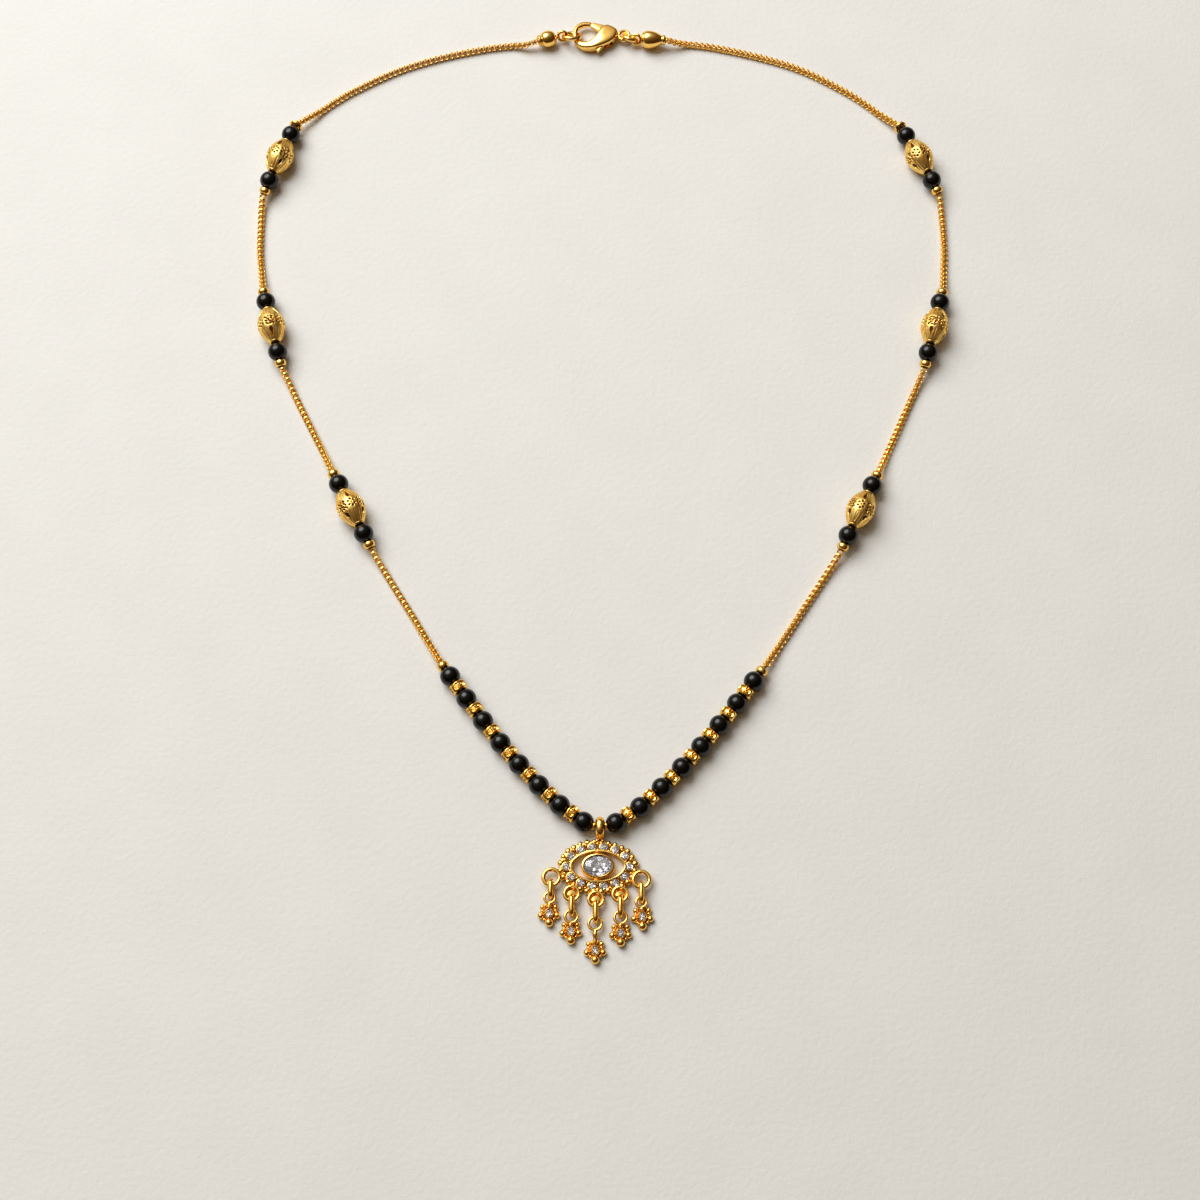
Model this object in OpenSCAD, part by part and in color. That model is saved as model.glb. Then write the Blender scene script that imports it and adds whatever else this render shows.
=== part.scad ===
// Beaded necklace with a box chain, a lobster clasp and a stone-set pendant, in millimetres.
// It lies closed and flat: the surface is z = 0 and +Y runs from the pendant to the clasp.
// The origin is the middle of the loop's bounding box, on the surface.

/* [Black beads] */
// Across a black bead
bead_d = 4; // [3.6:0.1:4.4]
// Along the thread, between its two flats
bead_len = 3.6; // [3.2:0.1:3.9]
// Hole through a bead
bead_bore_d = 1.1; // [0.9:0.1:1.2]

/* [Oval beads] */
// Across an oval bead
oval_d = 5.7; // [5:0.1:6.2]
// Along the thread
oval_len = 8.3; // [7.5:0.1:9]
// Across the mouth at each end
oval_mouth_d = 2; // [1.6:0.1:2.4]

/* [Thread and small metal] */
// Stringing thread
thread_d = 0.4; // [0.3:0.05:0.5]
// Spacer between two front beads, along the thread
spacer_len = 1.8; // [1.6:0.02:2]
// Spacer across its middle band
spacer_d = 3.4; // [3:0.1:3.6]
// End crimp, across and along
crimp_d = 2.1; // [1.8:0.1:2.4]
crimp_len = 1.5; // [1.2:0.1:1.8]
// Ring cap at the top of each upper station, across
ring_cap_d = 2.9; // [2.6:0.1:3.2]
// Space left between neighbouring pieces
gap = 0.06; // [0.05:0.01:0.1]

/* [Chain] */
// Box chain, across
chain_w = 1.2; // [1:0.1:1.4]
// Usual step along a chain between two rings of its tube
chain_step = 4; // [3:0.2:5]

/* [Clasp] */
// Greatest thickness of the claw
claw_t = 2.8; // [2.4:0.1:3]
// Thickness of the sprung lever
lever_t = 0.9; // [0.8:0.05:1]
// Lever pin
pin_d = 0.7; // [0.6:0.05:0.8]

/* [Pendant] */
// Eye-shaped plate, long and short axes
plate_w = 14.8; // [14:0.1:16]
plate_h = 10; // [9.4:0.1:10.8]
// Opening inside it, long and short axes
opening_w = 9.9; // [9.4:0.1:10.2]
opening_h = 5.5; // [5.2:0.1:5.8]
// Centre stone, long and short axes
stone_w = 5.5; // [5:0.1:5.8]
stone_h = 4; // [3.6:0.1:4.4]

/* [Hidden] */
$fn = 48;

gold = [0.85, 0.63, 0.22];
black = [0.03, 0.03, 0.035];
clear = [0.86, 0.88, 0.92];

function bead_name(i) = str("black_bead_", i < 10 ? "0" : "", i);

// Heights of the axes above the surface
bead_z = bead_d / 2;
oval_z = oval_d / 2;
chain_z = chain_w / 2 + 0.02;

// Along a station, from its middle: the black bead, then a crimp or a ring cap, then the chain
station_bead = oval_len / 2 + 2 * gap + bead_len / 2;
station_crimp = station_bead + bead_len / 2 + gap + crimp_len / 2;
ring_wire = 0.5;
station_ring = station_bead + bead_len / 2 + gap + ring_wire;
chain_clear = 0.3;
crimp_to_chain = crimp_len / 2 + chain_clear;
ring_to_chain = ring_wire + chain_clear;
station_bead_z = 2.45;
station_crimp_z = 2.05;
station_chain_z = 1.9;
station_bead_pitch = 6;
station_crimp_pitch = 10;

// The columns of the tables below that start with a place
X = 0;
Y = 1;

// Each station: x and y of its middle, and the heading of the end nearer the clasp. The first three
// are on the left, from the clasp down, and the last three on the right
HEADING = 2;
station_table = [
    [-69.2, 69, 70.5],
    [-68.7, 28, 105],
    [-50.3, -13.2, 117],
    [69, 68.9, 114],
    [69.9, 27.8, 75],
    [52.6, -13.6, 64]
];

// The front strand: eight beads a side, stepping outwards from the bail at these slopes
left_start = [-3.15, -77.85];
right_start = [3.05, -78.1];
left_slopes = [36, 44, 47, 49.5, 52, 53.5, 54.5];
right_slopes = [34, 42.5, 45.5, 48, 50, 51.5, 53];
bend_gap = 2 * gap;
strand_pitch = bead_len + spacer_len + 2 * bend_gap;
strand_crimp_z = 1.8;
strand_crimp_pitch = 5;
strand_chain_z = 1.68;
thread_low = [0, -79];
disc_x = 1;
disc_d = 1.2;
disc_len = 0.3;
first_bead_turn = 16;
last_bead_turn = 1;

function walk(start, side, slopes, k) =
    k == 0 ? start
    : walk(start, side, slopes, k - 1) + strand_pitch * [side * cos(slopes[k - 1]), sin(slopes[k - 1])];
function strand(start, side, slopes) = [for (k = [0:7]) walk(start, side, slopes, k)];
left_strand = strand(left_start, -1, left_slopes);
right_strand = strand(right_start, 1, right_slopes);
function flat(p, z) = [p[0], p[1], z];
function end_slope(slopes) = slopes[6] + last_bead_turn;
function side_heading(side, slope) = side > 0 ? slope : 180 - slope;
function strand_crimp(beads, side, slopes) =
    let (reach = bead_len / 2 + bend_gap + crimp_len / 2, a = end_slope(slopes))
    flat(beads[7] + reach * [side * cos(a), sin(a)], strand_crimp_z);

// Where a chain meets a station's or a strand's end
function heading_dir(a) = [cos(a), sin(a)];
function station_end(i, side) =
    let (
        row = station_table[i],
        ring = side > 0 && i % 3 == 0,
        reach = ring ? station_ring + ring_to_chain : station_crimp + crimp_to_chain,
        p = [row[X], row[Y]] + side * reach * heading_dir(row[HEADING])
    )
    flat(p, station_chain_z);
function strand_end(beads, side, slopes) =
    let (a = end_slope(slopes), c = strand_crimp(beads, side, slopes))
    flat(c + crimp_to_chain * [side * cos(a), sin(a), 0], strand_chain_z);

// End caps: place of the loop's middle, heading of the axis from the loop outwards, and its rise
left_loop = [-8.3, 100.85, 1.57];
left_cap_heading = 197;
left_cap_rise = 5;
right_loop = [8.11, 99.84, 1.75];
right_cap_heading = -5;
right_cap_rise = 5;
left_cap_start = 1.5;
right_cap_start = 1.3;
left_cap_len = 4.1;
right_cap_len = 5.1;
chain_pocket = 0.5;
pocket_clear = 0.1;
cap_straight = 1;
cap_stem_d = 0.7;
function left_cap_point(reach) =
    left_loop + reach * flat(cos(left_cap_rise) * heading_dir(left_cap_heading), sin(left_cap_rise));
function right_cap_point(reach) =
    right_loop + reach * flat(cos(right_cap_rise) * heading_dir(right_cap_heading), sin(right_cap_rise));
left_pocket = left_cap_start + left_cap_len - chain_pocket;
right_pocket = right_cap_start + right_cap_len - chain_pocket;

// Chain routes: out of a cap they start straight, and the points between the ends are chosen by hand
left_cap_exit = [for (reach = [pocket_clear, cap_straight]) left_cap_point(left_pocket + reach)];
right_cap_exit = [for (reach = [pocket_clear, cap_straight]) right_cap_point(right_pocket + reach)];
route_left_1 = concat(left_cap_exit, [
    [-16.5, 98.6, 1.5], [-19.5, 98.9, 0.75], [-24, 98.4, chain_z], [-34.5, 96, chain_z],
    [-45, 92.2, chain_z], [-55.5, 86.3, chain_z], [-61, 82, 0.8], [-64, 79.4, 1.55]
], [station_end(0, 1)]);
route_left_2 = concat([station_end(0, -1)], [
    [-72.7, 57, 1.1], [-72.7, 52.5, chain_z], [-72.5, 46.5, chain_z], [-72, 42.5, 0.8]
], [station_end(1, 1)]);
route_left_3 = concat([station_end(1, -1)], [
    [-64.9, 16.2, 1.2], [-62.9, 12, chain_z], [-58.7, 3.7, chain_z], [-56.7, -0.3, 0.8]
], [station_end(2, 1)]);
route_left_4 = concat([station_end(2, -1)], [
    [-44.4, -24.3, 1.2], [-42, -28.2, chain_z], [-36.8, -36.6, chain_z], [-33.8, -41.6, 0.8]
], [strand_end(left_strand, -1, left_slopes)]);
route_right_1 = concat(right_cap_exit, [
    [17, 99.1, 1.55], [20, 99.2, 0.75], [24.5, 98.6, chain_z], [34.6, 96.1, chain_z],
    [45, 92.3, chain_z], [55.5, 85.9, chain_z], [60.8, 81.4, 0.8], [63.8, 78.6, 1.55]
], [station_end(3, 1)]);
route_right_2 = concat([station_end(3, -1)], [
    [73.3, 57, 1.1], [73.5, 52.5, chain_z], [73.4, 46.5, chain_z], [73, 42, 0.8]
], [station_end(4, 1)]);
route_right_3 = concat([station_end(4, -1)], [
    [66.3, 16, 1.2], [64.5, 12, chain_z], [60.8, 3.8, chain_z], [58.7, -0.8, 0.8]
], [station_end(5, 1)]);
route_right_4 = concat([station_end(5, -1)], [
    [47, -24.5, 1.2], [44.5, -28.3, chain_z], [38.7, -37, chain_z], [35.2, -42.3, 0.8]
], [strand_end(right_strand, 1, right_slopes)]);

// Claw outline in its own frame, whose origin is the lever's pin. Each row is one section of the
// claw, from the hook's tip round to the neck: its outer edge, its inner edge, and its thickness as
// a part of claw_t
OUTER_X = 0;
OUTER_Y = 1;
INNER_X = 2;
INNER_Y = 3;
THICKNESS = 4;
claw_place = [2.1, 101.5, 1.42];
claw_sections = [
    [-4.15, 3, -4.7, 1.9, 0.36],
    [-5.4, 3.2, -5.6, 1.8, 0.39],
    [-6.6, 2.85, -6.35, 1.45, 0.39],
    [-7.5, 2.05, -6.9, 0.95, 0.39],
    [-8.05, 0.9, -7.1, 0.4, 0.39],
    [-8.2, -0.25, -7.1, -0.25, 0.39],
    [-8, -1.6, -6.9, -1, 0.42],
    [-7.4, -2.85, -6.5, -1.65, 0.48],
    [-6.5, -3.7, -5.8, -2.15, 0.56],
    [-5.3, -4.1, -5, -2.3, 0.64],
    [-4.1, -4.15, -4.2, -2.1, 0.73],
    [-2.8, -3.95, -3.45, -1.4, 0.82],
    [-1.4, -3.45, -2.95, -0.6, 0.91],
    [0, -2.75, -2.6, 0.15, 0.97],
    [1.1, -1.85, -2.15, 1.05, 1],
    [1.75, -0.75, -1.5, 1.65, 0.97],
    [1.85, 0.3, -0.6, 1.9, 0.86],
    [1.55, 0.85, 0.35, 1.6, 0.61],
    [1.25, 1.05, 0.75, 1.3, 0.32]
];
hub_d = 2.3;
hub_clear = 0.15;
bore_clear = 0.05;
slot_gap = 0.07;
eye_at = [3.23, -0.41];
eye_r = 1.16;
eye_wire = 0.34;
eye_stem_d = 1;
lever_gate = [
    [-3.7, 2.85], [-4.22, 2.1], [-4.06, 1.72], [-2.3, 0.63], [-0.95, -0.35], [0.5, 0.95], [-0.6, 2]
];
lever_tab = [
    [-0.95, -0.6], [-2.15, -3.2], [-3.06, -4.75], [-2.56, -5.1], [-1.2, -3.4], [0.3, -1.05]
];
slot_gate = [
    [-0.42, 2.8], [-0.42, 2.1], [0.68, 1.05], [0, 0], [-0.9, -0.9], [-2.4, -0.58], [-3.6, -0.42],
    [-3.6, 3.6]
];
slot_tab = [
    [-1.08, -0.5], [-2.3, -3.2], [-3.2, -5], [0.5, -5], [0.6, -3.6], [0.88, -0.85], [0, 0]
];

// Jump rings: their middles, radii and how far each leans from upright
ring_left_at = [-6.1, 100.85, 1.59];
ring_left_r = 2.1;
ring_left_wire = 0.31;
ring_left_lean = 53;
ring_right_at = [6.72, 100.4, 1.5];
ring_right_r = 1.5;
ring_right_wire = 0.32;
ring_right_lean = 45;
ring_right_heading = -22;
loop_r = 0.84;
loop_wire = 0.3;

// Pendant: its middle, and the heights of its parts
pendant_at = [-0.4, -86.3, 0];
plate_t = 1.2;
rim_wall = 0.4;
rim_top = 1.75;
bezel_wall = 0.28;
bezel_top = 2.1;
stone_seat_z = 0.9;
stone_lip = 0.5;
bridge_w = 1.6;
bridge_t = 0.9;

// The five drops, from the pendant's middle: each drop's soldered ring, its own loop and its flower
link_z = 1.28;
solder_ring_wire = 0.3;
drop_loop_wire = 0.25;
link_wire = 0.45;
link_end_r = 0.82;
link_slack_top = 0.03;
link_slack_bottom = 0.05;
RING_X = 0;
RING_Y = 1;
RING_R = 2;
LOOP_X = 3;
LOOP_Y = 4;
LOOP_R = 5;
FLOWER_X = 6;
FLOWER_Y = 7;
drop_table = [
    [-8.8, -2.1, 1.5, -9.1, -6, 1, -9.2, -8.95],
    [-4.95, -5.2, 1.32, -5, -9.55, 1.18, -5.1, -12.3],
    [-0.35, -6.3, 1.35, -0.5, -10.9, 1.22, -0.5, -15.95],
    [4.2, -5.35, 1.34, 4.3, -9.75, 1.18, 4.3, -12.7],
    [8.25, -2.55, 1.5, 8.2, -6.85, 0.98, 8.4, -9.6]
];

// Each granule is a ball that rests on the surface. Those of a flower are placed from its middle
GRANULE_R = 2;
flower_granules = [
    [0, -1.7, 0.85],
    [-1.55, -0.3, 0.66],
    [1.55, -0.3, 0.66],
    [-1.3, 1.35, 0.58],
    [1.3, 1.35, 0.58],
    [0, 1.45, 0.5]
];
// Those that carry the outer rings stand at the plate's edge, placed from the pendant's middle
plate_granules = [[-6.75, -2, 0.62], [-4.75, -3.85, 0.5], [4.3, -3.95, 0.5], [6.5, -2.3, 0.62]];
bail_at = [0.4, 7.35, 1.95];
bail_wire = 0.75;
bail_end_r = 1.2;
bail_straight = 0.4;
bail_post_d = 1.1;

module along(p, heading, pitch = 0) {
    translate(p) rotate([0, 90 - pitch, heading]) children();
}

module rod(a, b, d) {
    v = b - a;
    span = norm(v);
    translate(a) rotate([0, acos(v[2] / span), atan2(v[1], v[0])]) cylinder(d = d, h = span);
}

function unit(v) = v / norm(v);

// A closed skin over rings of points: each ring runs from the right of the route over its top
module skin(points, sides) {
    last = len(points) / sides - 1;
    walls = [for (i = [0:last - 1]) for (k = [0:sides - 1])
        let (a = sides * i + k, b = sides * i + (k + 1) % sides)
        each [[a, b, b + sides], [a, b + sides, a + sides]]];
    start = [[for (k = [sides - 1:-1:0]) k]];
    end = [[for (k = [0:sides - 1]) sides * last + k]];
    polyhedron(points = points, faces = concat(walls, start, end));
}

// A tube with eight flat sides, one of them underneath
module tube(p, width) {
    last = len(p) - 1;
    r = width / 2 / cos(22.5);
    skin([for (i = [0:last])
        let (
            t = unit(p[min(i + 1, last)] - p[max(i - 1, 0)]),
            side = unit(cross(t, [0, 0, 1])),
            up = cross(side, t)
        )
        for (k = [0:7]) p[i] + r * (cos(45 * k + 22.5) * side + sin(45 * k + 22.5) * up)], 8);
}

module thread(points) {
    tube(points, thread_d);
}

module torus(r, wire) {
    rotate_extrude() translate([r, 0]) circle(r = wire);
}

module black_bead_shape() {
    difference() {
        intersection() {
            sphere(d = bead_d);
            cylinder(d = bead_d + 1, h = bead_len, center = true);
        }
        cylinder(d = bead_bore_d, h = bead_d + 1, center = true);
    }
}

// Half the profile of an oval bead follows a rounded cosine from its mouth to its middle
function oval_radius(s) = oval_mouth_d / 2 + (oval_d - oval_mouth_d) / 2 * pow(cos(90 * s), 0.85);

module oval_bead_shape() {
    steps = 9;
    bore = bead_bore_d / 2;
    rotate_extrude() polygon(concat(
        [[bore, -oval_len / 2]],
        [for (i = [-steps:steps]) [oval_radius(abs(i) / steps), i / steps * oval_len / 2]],
        [[bore, oval_len / 2]]
    ));
}

module spacer_shape() {
    rim = 0.3;
    rim_r = spacer_d / 2 - 0.25;
    h = spacer_len / 2;
    rotate_extrude() polygon([
        [0, -h], [rim_r - 0.3, -h], [rim_r, -h + 0.1], [rim_r, -h + rim], [rim_r - 0.1, -h + rim + 0.1],
        [spacer_d / 2, 0], [rim_r - 0.1, h - rim - 0.1], [rim_r, h - rim], [rim_r, h - 0.1],
        [rim_r - 0.3, h], [0, h]
    ]);
}

// A crimp is a small bell: its wide end faces the bead, its narrow end the chain
module crimp_shape() {
    r = crimp_d / 2;
    h = crimp_len / 2;
    rotate_extrude() polygon([
        [0, -h], [r - 0.2, -h], [r, -h + 0.25], [r, 0], [r - 0.1, 0.3], [r - 0.3, h - 0.1],
        [r - 0.35, h], [0, h]
    ]);
}

module disc_shape() {
    cylinder(d = disc_d, h = disc_len, center = true);
}

module ring_cap_shape() {
    torus(ring_cap_d / 2 - ring_wire, ring_wire);
    cylinder(d = ring_cap_d - 2 * ring_wire, h = ring_wire, center = true);
}

module at_station(i) {
    row = station_table[i];
    translate([row[X], row[Y], 0]) rotate([0, 0, row[HEADING]]) children();
}

module station_bead_at(i, side) {
    color(black) at_station(i)
        along([side * station_bead, 0, station_bead_z], 0, -side * station_bead_pitch) black_bead_shape();
}

module strand_bead(beads, side, slopes, k) {
    before = k == 0 ? slopes[0] - first_bead_turn : slopes[k - 1];
    after = k == 7 ? end_slope(slopes) : slopes[k];
    color(black) along(flat(beads[k], bead_z), side_heading(side, (before + after) / 2)) black_bead_shape();
}

// Beads 1 to 12 are in the stations, 13 to 20 in the left strand and 21 to 28 in the right one
module black_bead(i) {
    if (i <= 12) station_bead_at(floor((i - 1) / 2), i % 2 == 1 ? 1 : -1);
    else if (i <= 20) strand_bead(left_strand, -1, left_slopes, i - 13);
    else strand_bead(right_strand, 1, right_slopes, i - 21);
}

module oval_bead(i) {
    color(gold) at_station(i - 1) along([0, 0, oval_z], 0) oval_bead_shape();
}

module station_string(i) {
    ring = i % 3 == 0;
    top = ring ? station_ring : station_crimp;
    at_station(i) {
        thread([
            [-station_crimp, 0, station_crimp_z], [-station_bead, 0, station_bead_z], [0, 0, oval_z],
            [station_bead, 0, station_bead_z], [top, 0, station_crimp_z]
        ]);
        rotate([0, 0, 180]) along([station_crimp, 0, station_crimp_z], 0, -station_crimp_pitch) crimp_shape();
        along([top, 0, station_crimp_z], 0, -station_crimp_pitch)
            if (ring) ring_cap_shape();
            else crimp_shape();
    }
}

module strand_metal(beads, side, slopes) {
    for (k = [0:6])
        along(flat((beads[k] + beads[k + 1]) / 2, bead_z), side_heading(side, slopes[k])) spacer_shape();
    along(strand_crimp(beads, side, slopes), side_heading(side, end_slope(slopes)), -strand_crimp_pitch)
        crimp_shape();
    to_bead = beads[0] - thread_low;
    disc_y = thread_low[1] + disc_x * abs(to_bead[1] / to_bead[0]);
    along([side * disc_x, disc_y, bead_z], atan2(to_bead[1], to_bead[0])) disc_shape();
}

module front_string() {
    color(gold) {
        thread(concat(
            [strand_crimp(left_strand, -1, left_slopes)],
            [for (k = [7:-1:0]) flat(left_strand[k], bead_z)],
            [flat(thread_low, bead_z)],
            [for (k = [0:7]) flat(right_strand[k], bead_z)],
            [strand_crimp(right_strand, 1, right_slopes)]
        ));
        strand_metal(left_strand, -1, left_slopes);
        strand_metal(right_strand, 1, right_slopes);
    }
}

module station_strings_left() {
    color(gold) for (i = [0:2]) station_string(i);
}

module station_strings_right() {
    color(gold) for (i = [3:5]) station_string(i);
}

// A point on the smooth curve through b and c, with a and d as its neighbours
function blend(a, b, c, d, t) =
    0.5 * (2 * b + (c - a) * t + (2 * a - 5 * b + 4 * c - d) * t * t + (3 * b - a - 3 * c + d) * t * t * t);
function smooth_route(p) = concat(
    [for (i = [0:len(p) - 2])
        let (n = max(1, round(norm(p[i + 1] - p[i]) / chain_step)))
        for (j = [0:n - 1])
            blend(p[max(i - 1, 0)], p[i], p[i + 1], p[min(i + 2, len(p) - 1)], j / n)],
    [p[len(p) - 1]]
);

module chain(route) {
    color(gold) tube(smooth_route(route), chain_w);
}

// Left cap, along +Z from its narrow end at the loop to its lipped mouth at the chain
module end_cap_left() {
    h = left_cap_len;
    loop_edge = left_loop + loop_r * flat(heading_dir(left_cap_heading), 0);
    color(gold) {
        difference() {
            along(left_cap_point(left_cap_start), left_cap_heading, left_cap_rise)
                rotate_extrude() polygon([
                    [0, 0], [0.5, 0.05], [1, 0.3], [1.42, 0.72], [1.7, 1.25], [1.8, 1.8], [1.72, 2.35],
                    [1.48, 2.85], [1.15, 3.25], [1.08, 3.4], [1.2, 3.55], [1.25, 3.8], [1.2, h], [0, h]
                ]);
            along(left_cap_point(left_pocket), left_cap_heading, left_cap_rise)
                cylinder(d = chain_w + 0.5, h = 2);
        }
        rod(loop_edge, left_cap_point(left_cap_start + 0.3), cap_stem_d);
        translate(left_loop) rotate([ring_left_lean, 0, 0]) torus(loop_r, loop_wire);
    }
}

// Right cap, along +Z from its broad rimmed end at the loop to the small collar at the chain
module end_cap_right() {
    h = right_cap_len;
    loop_edge = right_loop + loop_r * flat(heading_dir(right_cap_heading), 0);
    color(gold) {
        difference() {
            along(right_cap_point(right_cap_start), right_cap_heading, right_cap_rise)
                rotate_extrude() polygon([
                    [0, 0], [1.35, 0], [1.6, 0.1], [1.62, 0.3], [1.84, 0.55], [1.94, 1.1], [1.94, 1.7],
                    [1.85, 2.4], [1.63, 3.1], [1.3, 3.7], [0.98, 4.2], [0.94, 4.35], [1.04, 4.5],
                    [1.08, 4.8], [1, h], [0, h]
                ]);
            along(right_cap_point(right_pocket), right_cap_heading, right_cap_rise)
                cylinder(d = chain_w + 0.5, h = 2);
        }
        rod(loop_edge, right_cap_point(right_cap_start + 0.3), cap_stem_d);
        translate(right_loop) rotate([0, 0, ring_right_heading]) rotate([ring_right_lean, 0, 0])
            torus(loop_r, loop_wire);
    }
}

module jump_ring_left() {
    color(gold) translate(ring_left_at) rotate([ring_left_lean - 90, 0, 0])
        torus(ring_left_r, ring_left_wire);
}

module jump_ring_right() {
    color(gold) translate(ring_right_at) rotate([0, 0, ring_right_heading])
        rotate([ring_right_lean - 90, 0, 0]) torus(ring_right_r, ring_right_wire);
}

// Each section of the claw is a rounded oval between its outer and inner edge
module claw_skin() {
    sides = 16;
    squash = 0.8;
    function swell(x) = sign(x) * pow(abs(x), squash);
    skin([for (s = claw_sections)
        let (
            middle = [s[OUTER_X] + s[INNER_X], s[OUTER_Y] + s[INNER_Y], 0] / 2,
            half = [s[OUTER_X] - s[INNER_X], s[OUTER_Y] - s[INNER_Y], 0] / 2,
            half_t = s[THICKNESS] * claw_t / 2
        )
        for (k = [0:sides - 1])
            let (a = 360 * (k + 0.5) / sides)
            middle + half * swell(cos(a)) + [0, 0, half_t * swell(sin(a))]], sides);
}

module clasp_body() {
    color(gold) translate(claw_place) {
        difference() {
            claw_skin();
            linear_extrude(lever_t + 2 * slot_gap, center = true) {
                circle(r = hub_d / 2 + hub_clear);
                polygon(slot_gate);
                polygon(slot_tab);
            }
        }
        cylinder(d = pin_d, h = 0.8 * claw_t, center = true);
        rod([hub_d / 2 + hub_clear + 0.1, -0.35, 0], [eye_at[0] - eye_r, -0.4, 0], eye_stem_d);
        translate(eye_at) torus(eye_r, eye_wire);
    }
}

module clasp_lever() {
    color(gold) translate(claw_place) difference() {
        linear_extrude(lever_t, center = true) {
            circle(d = hub_d);
            polygon(lever_gate);
            polygon(lever_tab);
        }
        cylinder(d = pin_d + 2 * bore_clear, h = claw_t, center = true);
    }
}

module oval_block(w, h, bottom, top) {
    translate([0, 0, bottom]) scale([w / 2, h / 2, 1]) cylinder(r = 1, h = top - bottom);
}

module bail() {
    translate(bail_at) rotate([90, 0, 90]) {
        for (side = [-1, 1]) {
            translate([side * bail_straight / 2, 0, 0]) rotate([0, 0, side > 0 ? -90 : 90])
                rotate_extrude(angle = 180) translate([bail_end_r, 0]) circle(r = bail_wire);
            translate([0, side * bail_end_r, 0]) rotate([0, 90, 0])
                cylinder(r = bail_wire, h = bail_straight, center = true);
        }
    }
}

module pendant_frame() {
    seat_w = stone_w + 2 * gap;
    seat_h = stone_h + 2 * gap;
    edge = plate_h / 2;
    color(gold) translate(pendant_at) {
        difference() {
            union() {
                oval_block(plate_w, plate_h, 0, plate_t);
                oval_block(opening_w + 2 * rim_wall, opening_h + 2 * rim_wall, 0, rim_top);
            }
            oval_block(opening_w, opening_h, -1, rim_top + 1);
        }
        difference() {
            union() {
                oval_block(seat_w + 2 * bezel_wall, seat_h + 2 * bezel_wall, 0, bezel_top);
                translate([-bridge_w / 2, -opening_h / 2 - rim_wall / 2, 0.1])
                    cube([bridge_w, opening_h + rim_wall, bridge_t]);
            }
            oval_block(seat_w, seat_h, stone_seat_z, bezel_top + 1);
            oval_block(stone_w - 2 * stone_lip, stone_h - 2 * stone_lip, -1, 1);
        }
        for (d = drop_table) translate([d[RING_X], d[RING_Y], link_z]) torus(d[RING_R], solder_ring_wire);
        for (g = plate_granules) granule(g);
        rod([bail_at[X], edge - 0.5, 0.65], [bail_at[X], edge + 1, 1.5], bail_post_d);
        bail();
    }
}

// A ball that rests on the surface. Its seam is turned outwards, away from what it is soldered to
module granule(g) {
    translate([g[X], g[Y], g[GRANULE_R]]) rotate([0, 0, atan2(g[Y], g[X])]) sphere(r = g[GRANULE_R]);
}

// The stone's levels, from its lower flat to its table: size as a part of its girdle's, and height
module centre_stone() {
    facets = 16;
    levels = [[0.3, 1], [0.7, 1.3], [1, 1.75], [1, 1.87], [0.86, 2.15], [0.6, 2.4]];
    color(clear) translate(pendant_at) skin([for (v = levels) for (k = [0:facets - 1])
        let (a = -360 * (k + 0.5) / facets)
        [v[0] * stone_w / 2 * cos(a), v[0] * stone_h / 2 * sin(a), v[1]]], facets);
}

// One link: two half rings joined by straight wires, standing on its edge
module drop_link(d) {
    top = d[RING_Y] - d[RING_R] - link_slack_top;
    bottom = d[LOOP_Y] + d[LOOP_R] + link_slack_bottom;
    x = (d[RING_X] + d[LOOP_X]) / 2;
    translate([x, (top + bottom) / 2, link_z]) rotate([90, 0, 90]) {
        for (side = [-1, 1]) {
            translate([side * (top - bottom) / 2, 0, 0]) rotate([0, 0, side > 0 ? -90 : 90])
                rotate_extrude(angle = 180) translate([link_end_r, 0]) circle(r = link_wire);
            translate([0, side * link_end_r, 0]) rotate([0, 90, 0])
                cylinder(r = link_wire, h = top - bottom, center = true);
        }
    }
}

module drop_links() {
    color(gold) translate(pendant_at) for (d = drop_table) drop_link(d);
}

module flower_drop(i) {
    d = drop_table[i - 1];
    cup_r = 0.95;
    cup_top = 1.45;
    back_r = 1.45;
    stem_d = 0.6;
    color(gold) translate(pendant_at) {
        translate([d[FLOWER_X], d[FLOWER_Y], 0]) {
            cylinder(r = cup_r, h = cup_top);
            translate([0, 0, 0.2]) cylinder(r = back_r, h = 0.4);
            for (g = flower_granules) granule(g);
        }
        translate([d[LOOP_X], d[LOOP_Y], link_z]) torus(d[LOOP_R], drop_loop_wire);
        rod([d[LOOP_X], d[LOOP_Y] - d[LOOP_R], link_z], [d[FLOWER_X], d[FLOWER_Y] + 1.1, 0.85], stem_d);
    }
}

for (i = [1:28]) black_bead(i);
for (i = [1:6]) oval_bead(i);
front_string();
station_strings_left();
station_strings_right();
chain(route_left_1);  // chain_left_1
chain(route_left_2);  // chain_left_2
chain(route_left_3);  // chain_left_3
chain(route_left_4);  // chain_left_4
chain(route_right_1);  // chain_right_1
chain(route_right_2);  // chain_right_2
chain(route_right_3);  // chain_right_3
chain(route_right_4);  // chain_right_4
end_cap_left();
end_cap_right();
jump_ring_left();
jump_ring_right();
clasp_body();
clasp_lever();
pendant_frame();
centre_stone();
drop_links();
for (i = [1:5]) flower_drop(i);
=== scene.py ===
# Looks of a beaded pendant necklace that lies closed and flat on a pale surface.
# Sizes are in millimetres, and turn into metres where a piece's mesh is made.
# Materials, the stage, the light and the camera are in metres.
import math
import random

import bmesh
import bpy
import numpy as np
from mathutils import Matrix, Vector


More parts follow.
